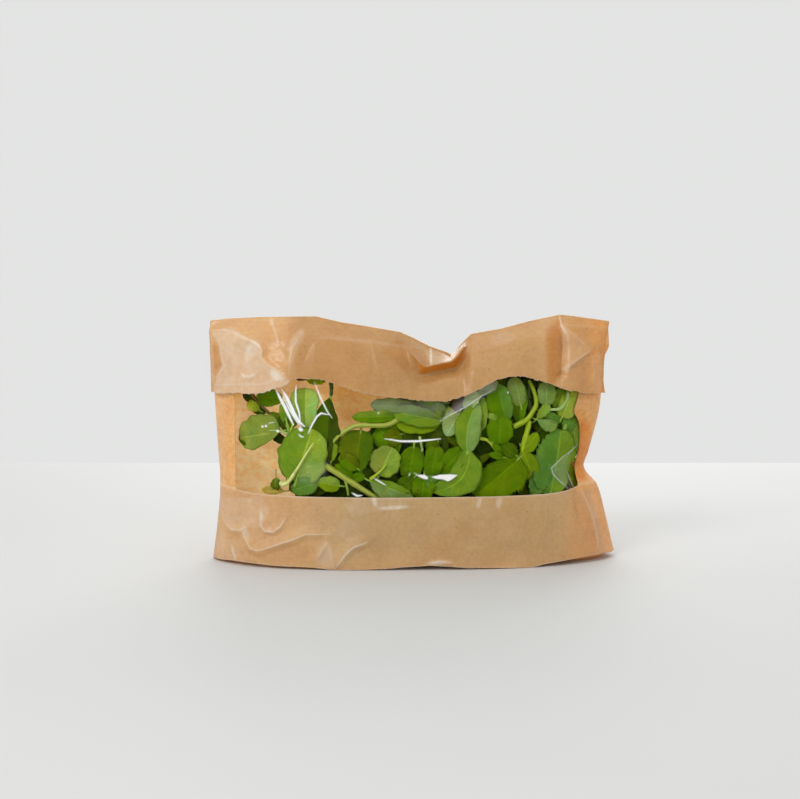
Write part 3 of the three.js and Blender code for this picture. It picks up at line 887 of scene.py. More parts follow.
def front_grid():
    """A grid of the front that follows the window's edges: x, z, u, v and where the window is.

    Rows run base, window bottom, window top, fold; columns run side edge, window left, window
    right, side edge. As the edges depend on each other, the places are refined in turns.
    """
    strips, window = np.linspace(0, 1, 25), np.linspace(0, 1, 401)
    across = np.concatenate([strips[:-1], 1 + window, 2 + strips[1:]])
    band, middle, top = np.linspace(0, 1, 85), np.linspace(0, 1, 57), np.linspace(0, 1, 15)
    up = np.concatenate([band[:-1], 1 + middle[:-1], 2 + top])
    c, r = np.meshgrid(across, up)
    v = r / 3
    for _ in range(6):
        left, right = left_side(v * BAG_HEIGHT), right_side(v * BAG_HEIGHT)
        x = stop_to_stop(c, [left, WINDOW_LEFT, window_right(v * BAG_HEIGHT), right])
        lift, fold = front_lift(x), top_fold(x)
        v = stop_to_stop(r, [0, (window_bottom(x) - lift) / (fold - lift), WINDOW_TOP, 1])
    u = np.clip((2 * x - left - right) / (right - left), -1, 1)
    second_columns, second_rows = (np.floor(t[:-1, :-1] + 0.001) == 1 for t in (c, r))
    return x, mix(lift, fold, v), u, v, second_columns & second_rows


# The lower right corner is folded along a line through x and z that leans in with height, and
# the fold ends a little above it. The strips beside the window start at the band's top.
CORNER_FOLD_X = 108
CORNER_FOLD_Z = 50
CORNER_FOLD_LEAN = -0.29
CORNER_FOLD_TOP = 52
BAND_TOP = 44


def front_marks(x, z):
    """Marks of the front: a painted glow of one layer beside the window, pale edges with a painted
    highlight along the lower one, painted shade where mint lies behind it and at its right end, and
    painted highlights.
    """
    beside = x - window_right(z)
    by_window = (x < WINDOW_LEFT + 0.5) | (beside > -0.5)
    # Painted glow of one layer of paper, beside the window and at the folded lower right corner.
    single = np.where(by_window, ease((z - BAND_TOP) / 5), 0.0)
    fold_x = CORNER_FOLD_X + CORNER_FOLD_LEAN * (z - CORNER_FOLD_Z)
    corner = ease((x - fold_x) / 3) * ease((CORNER_FOLD_Z - z) / 6 + 1) * (z < CORNER_FOLD_TOP)
    window_edge = 0.35 * np.exp(-(((z - window_bottom(x)) / 0.7) ** 2))
    # Painted highlight along the front's lower edge.
    lower_edge_highlight = 0.5 * (1 - ease((z - front_lift(x)) / 0.9))
    # Painted shade where mint lies behind the paper.
    backed_shade = ease((x + 84) / 50) * (1 - ease((x - 84) / 30)) * ease((z + 12) / 30)
    # Painted shade: darker and more orange at the right end, on the low right strip and on facets
    # turned from the light.
    right_end_shade = 0.22 * ease((x - 90) / 14)
    low_strip_shade = (0.75 - 0.5 * ease((beside - 6) / 4)) * (x > 98) * ease((z - 48) / 6)
    low_strip_shade = low_strip_shade * (1 - ease((z - 86) / 20))
    dark = area_marks(x, z, BAND_DARK, 0, 4)
    return {"Single": np.maximum(single, 0.75 * corner), "BackedShade": backed_shade,
            "Crease": np.maximum(window_edge, lower_edge_highlight),
            "Shade": np.maximum.reduce([dark, right_end_shade, low_strip_shade]),
            "SheenPatch": np.maximum(sheen_patches(x, z, BAND_SHEEN), area_marks(x, z, BAND_LIGHT))}


def make_front(sizes):
    """The front: band, side strips and the part under the flap, round the window's hole."""
    x, z, u, v, hole = front_grid()
    points = np.stack([x, front_y(u, v), z], -1)
    height, mark = crease_relief(x, z, BAND_CREASES)
    height = FRONT_CREASING * sizes.crease * height
    height += unevenness(x, z, FRONT_WAVES, FRONT_CRUMPLES, sizes.crease)
    strip = np.clip((np.abs(u) - 0.86) * 12, 0, 1) * ease((z - 40) / 8)
    height += strip * unevenness(x, z, [], STRIP_CRUMPLES)
    calm = ease((1 - np.abs(u)) * 9) * ease((1 - v) * 12) * ease(z / 3 + 0.15)
    points += outward(points) * (height * calm)[..., None]
    marks = paper_marks(x.shape, **front_marks(x, z))
    marks["Crease"] = np.maximum(mark, marks["Crease"])
    piece = add_piece("kraft_front", points, grid_quads(*x.shape, keep=~hole),
                      kraft_material("kraft_coated", True), marks=marks)
    give_thickness(piece, sizes.paper)
    return piece


GLUE_SEAM = (-6.5, 6.5)
# The first crease is the base's block fold; all are given as (x, height).
BACK_CREASES = [
    [(-128, 19), (-60, 18.5), (0, 19), (60, 18.4), (126, 19)],
    [(-122, 2), (-104, 19)], [(121, 2), (104, 19)],
    [(-90, 150), (-70, 118), (-64, 80)], [(60, 146), (40, 118), (44, 92)],
    [(-30, 60), (4, 44), (52, 52)], [(92, 60), (78, 84), (84, 112)],
    [(22, 130), (18, 108), (24, 88), (16, 70)], [(-104, 60), (-82, 48), (-52, 52)],
]
BLOCK_FOLD_HEIGHT = 0.7
BACK_CREASE_HEIGHT = 1.5


def back_creases(x, z):
    """The height and the pale mark of the back's creases, each a ridge that tapers to its ends."""
    height, mark = np.zeros(x.shape), np.zeros(x.shape)
    for k, path in enumerate(BACK_CREASES):
        distance, side, share = along_line(x, z, path)
        taper = np.sin(np.pi * np.clip(share, 0.05, 0.95)) ** 0.4
        reach = np.where(side > 0, 7, 4)
        size = BACK_CREASE_HEIGHT if k else BLOCK_FOLD_HEIGHT
        height += size * taper * np.clip(1 - distance / reach, 0, 1)
        mark = np.maximum(mark, 0.1 * taper * np.exp(-((distance / 0.8) ** 2)))
    return height, mark


def make_back(sizes):
    """The base and the back: flat across the base, then up, with a glued seam and a block fold."""
    across = np.sin(np.linspace(-0.5, 0.5, 241) * np.pi)
    base_rows, rows = 26, 120
    u, base = np.meshgrid(across, np.linspace(0, 1, base_rows, endpoint=False))
    x = mix(left_side(0.0), right_side(0.0), (u + 1) / 2)
    y = mix(front_y(u, 0.0), back_y(u, 0.0), base)
    lift = mix(front_lift(x), base_lift(u), ease(base * 3.5))
    bottom = np.stack([x, y, lift + 0.12 * np.sin(np.pi * base)], -1)
    u, v = np.meshgrid(across, np.linspace(0, 1, rows))
    x = mix(left_side(v * BAG_HEIGHT), right_side(v * BAG_HEIGHT), (u + 1) / 2)
    z = mix(base_lift(u), top_fold(x), v)
    back = np.stack([x, back_y(u, v), z], -1)
    height, mark = back_creases(x, z)
    height = sizes.crease * height + unevenness(x, z, BACK_WAVES, BACK_CRUMPLES, sizes.crease)
    calm = ease((1 - np.abs(u)) * 8) * ease((1 - v) * 8) * ease(z / 5)
    seam_left, seam_right = (ease((x - edge) / 0.9 + 0.5) for edge in GLUE_SEAM)
    seam = 0.35 * seam_left * (1 - seam_right) * ease((1 - v) * 12) * ease(z / 2)
    back -= outward(back) * (height * calm + seam)[..., None]
    points = np.concatenate([bottom, back])
    flat = np.zeros(bottom.shape[:2])
    # Painted shade on the inner side, under the flap and towards the top, and a little painted glow
    # all over the back.
    warm_shade = np.maximum(0.62 * ease((x + 62) / 14) * ease((z - 76) / 12), 0.4 * ease((z - 98) / 8))
    seam_edge = np.exp(-(((np.abs(x) - GLUE_SEAM[1]) / 0.7) ** 2)) * 0.2
    marks = paper_marks(points.shape[:2],
                        Crease=np.concatenate([flat, np.maximum(mark, seam_edge)]),
                        Single=np.full(points.shape[:2], 0.15),
                        Inside=np.concatenate([flat, warm_shade]))
    piece = add_piece("kraft_back", points, grid_quads(*points.shape[:2])[:, ::-1],
                      kraft_material("kraft_plain", False), marks=marks)
    give_thickness(piece, sizes.paper, kraft_material("kraft_inner_side", False, True))
    return piece


# The notch in the flap: (x, height) of its crest and of the fold under it, and (x, y) of both.
NOTCH_CREST = [(-12, 138), (-9, 136.5), (0, 131), (6.5, 127.1), (10.8, 127.6), (23, 129.6),
               (26, 132.2), (33, 141.5), (37, 143)]
NOTCH_UNDER = [(-12, 124), (-3, 120.5), (4.3, 121.2), (14.7, 122.9), (25.8, 124.3),
               (30.1, 129.1), (34.5, 139.3), (37, 142)]
NOTCH_CREST_Y = [(-12, -14), (-9, -15), (0, -18), (6.5, -19), (15, -16), (23, -13), (33, -8),
                 (37, -5)]
NOTCH_UNDER_Y = [(-12, -17), (-3, -16), (4, -14), (15, -9.5), (26, -6.5), (37, -4)]
# Where the notch starts at the left, is full, ends being full, and ends.
NOTCH_REACH = (-10, 4, 28, 36)
# The shares of the way down the flap at which the crest and the fold under it lie.
NOTCH_ROWS = (0.13, 0.3)
# How much further to each side the notch's bend runs out at the flap's edge.
NOTCH_SPREAD = 26
NOTCH_DARKEST = 0.95
# How far the flap stands off the front: at its fold, at its edge, and at least in the notch.
FOLD_STANDOFF = 0.3
EDGE_STANDOFF = 4.3
LEAST_STANDOFF = 0.9


def calm_front(x, z, calm):
    """The front's depth, averaged across by how calm, where the notch's corners kink it."""
    near = calm * ease((x + 30) / 20) * (1 - ease((x - 60) / 20))
    mean = sum(front_at(x + step * near, z) for step in (-24, -12, 0, 12, 24)) / 5
    return np.minimum(mean, front_at(x, z))


def notch_profile(x, down, fold, edge):
    """Height and depth of the flap in its notch: forward to a crest, back under it, and down."""
    crest, under, crest_y, under_y = (
        straight_through(line)(x)
        for line in (NOTCH_CREST, NOTCH_UNDER, NOTCH_CREST_Y, NOTCH_UNDER_Y))
    first, second = NOTCH_ROWS
    a = np.clip(down / first, 0, 1)
    b = np.clip((down - first) / (second - first), 0, 1)
    c = np.clip((down - second) / (1 - second), 0, 1)
    z = fold + (crest - fold) * a + (under - crest) * b + (edge - under) * c
    start_y = FOLD_Y - FOLD_STANDOFF
    y = start_y + (crest_y - start_y) * a + (under_y - crest_y) * b
    below = front_at(x, z) - mix(LEAST_STANDOFF, EDGE_STANDOFF, ease(2 * c))
    offset = under_y - front_at(x, under) + LEAST_STANDOFF
    y = np.where(c > 0, below + offset * (1 - c) ** 2, y)
    return z, np.minimum(y, front_at(x, z) - LEAST_STANDOFF), c


def flap_profile(x, down):
    """Height and depth of the flap at x, from the fold (down 0) to its free edge (down 1).

    It leaves the fold, swings out over the bulge and stands off more towards the edge, and
    turns into the notch's own profile between the notch's ends.
    """
    fold, edge = top_fold(x) + 0.3, flap_edge(x)
    standoff = mix(FOLD_STANDOFF, EDGE_STANDOFF, ease(3 * down))
    notch_z, notch_y, c = notch_profile(x, down, fold, edge)
    x0, x1, x2, x3 = NOTCH_REACH
    share = ease((x - x0) / (x1 - x0)) * (1 - ease((x - x2) / (x3 - x2)))
    z = mix(mix(fold, edge, down), notch_z, share)
    spread = NOTCH_SPREAD * ease(2.5 * c)
    wide = ease((x - x0 + spread) / (x1 - x0 + spread))
    wide = wide * (1 - ease((x - x2) / (x3 - x2 + spread)))
    y = calm_front(x, z, ease(3 * c)) - mix(standoff, front_at(x, notch_z) - notch_y, wide)
    return z, np.minimum(y, front_at(x, z) - np.minimum(standoff, LEAST_STANDOFF))


# The flap's right end: (height, x).
FLAP_RIGHT_END = [(106, 121), (110, 120.2), (115, 119.4), (126, 119.6), (131, 120),
                  (134, 121.4), (137, 122.4), (143, 122.2), (148, 122), (152, 122.6)]
# Half of the torn edge's teeth, coarse and fine: how many there are, and their height.
TORN_TEETH = [(190, 0.5), (470, 0.32)]


def torn_edge(xs):
    """How far the flap's torn edge is off its line: seeded teeth joined by straight lines."""
    draw = np.random.default_rng(5)
    return sum(size * np.interp(xs, np.linspace(xs[0], xs[-1], count), draw.uniform(-1, 1, count))
               for count, size in TORN_TEETH)


def fold_over(xs, top):
    """The flap's rows behind its top row: half a turn over the fold, then a short way down."""
    turn = np.linspace(0, np.pi, 7)[1:, None]
    over_y = mix(top[:, 1], FOLD_Y + LEAST_STANDOFF, (1 - np.cos(turn)) / 2)
    over_z = top[:, 2] + 0.5 * np.sin(turn)
    down_z = top[:, 2] - 2.4 * np.linspace(0, 1, 6)[1:, None]
    down_y = np.maximum(back_at(xs, down_z) + 0.3, FOLD_Y + LEAST_STANDOFF)
    return np.concatenate([np.stack([np.broadcast_to(xs, z.shape), y, z], -1)
                           for y, z in ((over_y, over_z), (down_y, down_z))])


def notch_shade(x, down):
    """Painted shade where the paper under the notch's crest faces down: darker and redder."""
    first, second = NOTCH_ROWS
    _, x1, x2, x3 = NOTCH_REACH
    share = ease((x - x1 + 3) / 3) * (1 - ease((x - x2) / (x3 - x2)))
    band = ease((down - first) / 0.02) * (1 - ease((down - second + 0.02) / 0.03))
    return NOTCH_DARKEST * share * band


# The edge of the flap's inner layer shows below its outer one at the left: (x, how far above).
INNER_LAYER = [(-125, 5.2), (-100, 5.8), (-78, 4.2)]


def flap_marks(x, z, down):
    """Marks of the flap: pale edges, painted highlights, a painted glow of one layer at its right
    end, and painted shade and dimness.
    """
    # Painted shade under the notch's crest, and where facets turn away from the light.
    notch = notch_shade(x, down)
    turned_away_shade = area_marks(x, z, FLAP_DARK, -4, 5)
    inner_edge = z - flap_edge(x) - line_through(INNER_LAYER)(x)
    inner_edge = 0.35 * np.exp(-((inner_edge / 0.5) ** 2))
    inner_edge *= ease((x + 127) / 3) * (1 - ease((x + 84) / 6))
    rim = 0.45 * ease((down - 0.985) / 0.015)
    # Painted shade: dimmer from the left end on, less so towards the right, more where facets turn
    # away.
    dim_shade = 0.65 * ease((x + 84) / 14) - 0.22 * ease((x - 10) / 40) - 0.28 * ease((x - 70) / 20)
    warm_shade = 0.08 * ease((x + 84) / 14) + 0.26 * ease((x - 84) / 22)
    return {"Crease": np.maximum(inner_edge, rim),
            "SheenPatch": np.maximum(sheen_patches(x, z, FLAP_SHEEN, -4),
                                area_marks(x, z, FLAP_LIGHT, -4)),
            "Single": 0.2 + 0.6 * ease((x - 106) / 8),
            "Shade": np.maximum.reduce([notch, turned_away_shade, warm_shade]),
            "DimShade": (dim_shade + 0.45 * turned_away_shade) * (1 - notch / NOTCH_DARKEST),
            "BackedShade": 0.35 * ease((x + 50) / 60) * ease((118 - x) / 20)}


# The marks of the rows that lie behind the fold: a little painted glow and painted shade.
BEHIND_FOLD = {"Single": 0.15, "DimShade": 0.12}


def make_flap(sizes):
    """The folded top: down in front of the window to a torn edge, and a short way down behind."""
    ends = (left_side(float(BAG_HEIGHT)) + 0.2, right_side(float(BAG_HEIGHT)) - 0.2)
    xs = np.linspace(*ends, 541)
    share, down = np.meshgrid(np.linspace(0, 1, len(xs)), np.linspace(1, 0, 80))
    right_end = straight_through(FLAP_RIGHT_END)(mix(top_fold(xs), flap_edge(xs), down))
    x = mix(ends[0], right_end, share)
    z, y = flap_profile(x, down)
    z += torn_edge(xs) * np.clip((down - 0.9) / 0.1, 0, 1)
    height, mark = crease_relief(x, z, FLAP_CREASES + PEAK_CREASES, -4)
    valley = [on_front(spot, -4)[[0, 2]] for spot in PEAK_VALLEY]
    distance, side, _ = along_line(x, z, valley)
    reach = np.where(side < 0, *PEAK_VALLEY_REACH)
    height -= PEAK_VALLEY_DEPTH * np.clip(1 - distance / reach, 0, 1) ** 1.6 * ease(3 * down)
    height = FLAP_CREASING * sizes.crease * height
    height += unevenness(x, z, FLAP_WAVES, FLAP_CRUMPLES, sizes.crease)
    points = np.stack([x, y, z], -1)
    points += outward(points) * (height * ease(down * 9))[..., None]
    marks = flap_marks(x, z, down)
    marks["Crease"] = np.maximum(mark, marks["Crease"])
    behind = fold_over(xs, points[-1])
    points = np.concatenate([points, behind])
    marks = {name: np.concatenate([values, np.full(behind.shape[:2], BEHIND_FOLD.get(name, 0.0))])
             for name, values in marks.items()}
    piece = add_piece("kraft_flap", points, grid_quads(*points.shape[:2]),
                      kraft_material("kraft_coated", True),
                      marks=paper_marks(points.shape[:2], **marks))
    give_thickness(piece, 2 * sizes.paper)
    return piece


# ---- The film ------------------------------------------------------------------------------

# Creases in the film, as pixels they pass through; their marks are painted white highlights.
FILM_CREASES = [
    Crease([(275.5, 389), (280, 398), (284.5, 406.5), (293.4, 425)], 0.5, 1.3, 1.3, 1.0, 0.95),
    Crease([(281.5, 389), (287, 398), (294, 413), (299, 421.5), (304.5, 426.5)],
           0.6, 1.8, 1.8, 1.0, 1.05),
    Crease([(283, 396), (289, 409), (297, 422), (302, 427)], 0.3, 1.0, 1.0, 1.0, 0.45),
    Crease([(296.3, 385.5), (295.6, 392), (295.8, 402), (299.3, 413), (300.5, 423)],
           0.4, 1.2, 1.2, 1.0, 0.6),
    Crease([(314.6, 383), (321, 399), (327.6, 412), (332, 418)], 0.4, 1, 1, 0.95, 0.45),
    Crease([(308, 434), (312.5, 424), (317, 416.5), (321, 413.4), (330, 415)],
           0.4, 1, 1, 0.95, 0.6),
    Crease([(298.5, 434.3), (301, 436.6), (304, 437.4)], 0.3, 1, 1, 0.9, 0.45),
    Crease([(268, 423.4), (274.5, 422.3)], 0.3, 1, 1, 0.5, 0.35),
    Crease([(385, 438.8), (401, 441.4), (416.5, 441.4), (440.5, 439)], 0.4, 1, 1, 1.0, 0.6),
    Crease([(374, 478.3), (380, 482), (386, 485.5)], 0.3, 1, 1, 0.8, 0.5),
    Crease([(571, 450.5), (561, 458), (551, 468), (552.5, 474), (557, 479), (568, 489)],
           0.8, 2.5, 2.5, 0.5, 0.32),
    Crease([(441, 420.5), (466, 407), (481, 396.5), (496, 388.5)], 0.5, 2, 2, 0.5, 0.4),
    Crease([(566, 459), (569, 452), (578, 444)], 0.4, 1.5, 1.5, 0.35, 0.35),
    Crease([(574, 489), (568.5, 477), (566, 470)], 0.4, 1.5, 1.5, 0.35, 0.3),
    Crease([(352, 493), (357, 496), (362, 495.5)], 0.2, 1, 1, 0.9, 0.6),
    Crease([(409, 476), (410, 473.4)], 0.2, 1, 1, 0.6, 0.4),
]
# Painted highlights of the film, then its hazy places, partly the film's own haze and partly
# painted sheen, as the pixels of their corners and how white they are.
FILM_LIGHT = [
    ([(414, 473), (418, 475), (425, 475), (428, 477.5), (427.5, 479.6), (423, 478.6),
      (418.5, 476.6)], 0.95),
    ([(431.5, 477), (440, 474.8), (450, 474.4), (457.5, 475.2), (452, 479.5), (448, 481.6),
      (443, 479.4), (436, 478.8)], 1.0),
]
FILM_HAZE = [
    ([(570, 452), (551, 468), (553, 474), (562, 484), (568, 489), (566, 470)], 0.09),
    ([(303, 464), (328, 462), (325, 476), (314, 486), (298, 482)], 0.05),
    ([(372, 399), (446, 402), (440, 412), (371, 410)], 0.07),
    ([(441, 421), (466, 407), (494, 389), (478, 389), (462, 398), (450, 410)], 0.16),
]
# Small painted glints and broad patches of painted sheen on the film.
FILM_SHEEN = [
    SheenPatch((300.6, 429.4), 1.5, 1.1, -35, 1.0), SheenPatch((277.6, 431.2), 0.9, 0.8, 0, 0.95),
    SheenPatch((262.4, 426.7), 0.75, 0.6, 0, 0.95), SheenPatch((265.8, 426.1), 0.8, 0.6, 0, 0.95),
    SheenPatch((487, 386), 5.5, 3.5, 20, 0.22), SheenPatch((472, 398), 5, 4, 20, 0.14),
    SheenPatch((378.4, 413.2), 0.5, 0.5, 0, 0.7), SheenPatch((477.6, 402.5), 0.5, 0.4, 0, 0.7),
    SheenPatch((508, 392.6), 0.7, 0.5, -60, 0.6),
]
# How far the film reaches behind the paper, and how far its creases may stand out, mm.
FILM_MARGIN = 2.5
FILM_OUTMOST = 0.9


def make_film(sizes):
    """The film across the window, its edges behind the paper's, with sharp narrow creases."""
    s, t = np.meshgrid(np.linspace(0, 1, 540), np.linspace(0, 1, 184))
    z = mix(46.0, 120.0, t)
    x = mix(WINDOW_LEFT - FILM_MARGIN, window_right(z) + FILM_MARGIN, s)
    z = mix(window_bottom(x) - FILM_MARGIN, WINDOW_TOP * top_fold(x) + FILM_MARGIN, t)
    y = front_at(x, z) + sizes.film_depth / MM
    height, mark = crease_relief(x, z, FILM_CREASES)
    height += unevenness(x, z, FILM_WAVES, FILM_CRUMPLES)
    rim = np.minimum.reduce([s, 1 - s, t * 0.5, (1 - t) * 0.5]) * 40
    points = np.stack([x, y, z], -1)
    points += outward(points) * (height * ease(rim))[..., None]
    points[..., 1] = np.maximum(points[..., 1], front_at(x, z) - FILM_OUTMOST)
    # Painted highlights along the creases and at glints; haze partly the film's own, partly painted
    # sheen.
    haze_and_sheen = np.maximum(sheen_patches(x, z, FILM_SHEEN), area_marks(x, z, FILM_HAZE, 0, 5))
    mark = np.maximum(mark, area_marks(x, z, FILM_LIGHT, 0, 0.8))
    marks = {"Crease": mark, "HazeAndSheen": haze_and_sheen}
    return add_piece("window_sheet", points, grid_quads(*x.shape), film_material(), marks=marks)


# ---- The mint ------------------------------------------------------------------------------

GREENS = {
    "fresh": (92, 128, 6), "shaded": (76, 104, 10), "leafy": (118, 148, 46),
    "light": (134, 160, 66), "bright": (150, 176, 96), "blue": (98, 138, 58),
    "sunlit": (160, 174, 80), "stalk": (158, 164, 72),
    "sage": (134, 149, 71), "cream": (206, 208, 148), "moss": (142, 160, 12), "rust": (150, 92, 40),
    "grey": (128, 156, 92), "hazy": (118, 140, 84), "pale": (158, 178, 122),
    "dark": (62, 80, 16), "deep": (44, 62, 8), "olive": (96, 110, 12), "lime": (120, 146, 20),
    "yellow": (160, 174, 50), "brown": (104, 84, 44), "straw": (186, 168, 92),
    "vivid": (86, 120, 0), "golden": (104, 134, 2),
}

# The greens are as seen in the shade of the bag; the leaves themselves are lighter.
LEAF_GAIN = np.array([1.9, 1.8, 1.5])
STEM_GAIN = np.array([1.8, 1.72, 1.6])

# One leaf: the pixels of its stalk end and tip; for the side to the left and the side to the
# right of the midrib, its width in mm and, unless it is a half, the share of the length where it
# is widest; the mm behind the film at both ends; the green of the left half, and of the right one
# if it differs; how sharp the tip is (0.3 blunt, 0.9 sharp); the roll about its length in
# degrees; the fold along the midrib; the arch and the sideways bow in mm; teeth a side; 1 where
# the underside shows; and how many brown flecks it has.
Leaf = collections.namedtuple(
    "Leaf", "stalk tip left right behind green other sharp roll fold arch bow teeth under spots",
    defaults=((6, 4), "light", None, 0.6, 0, 0.12, 1.5, 0, 0, 0, 0.0))

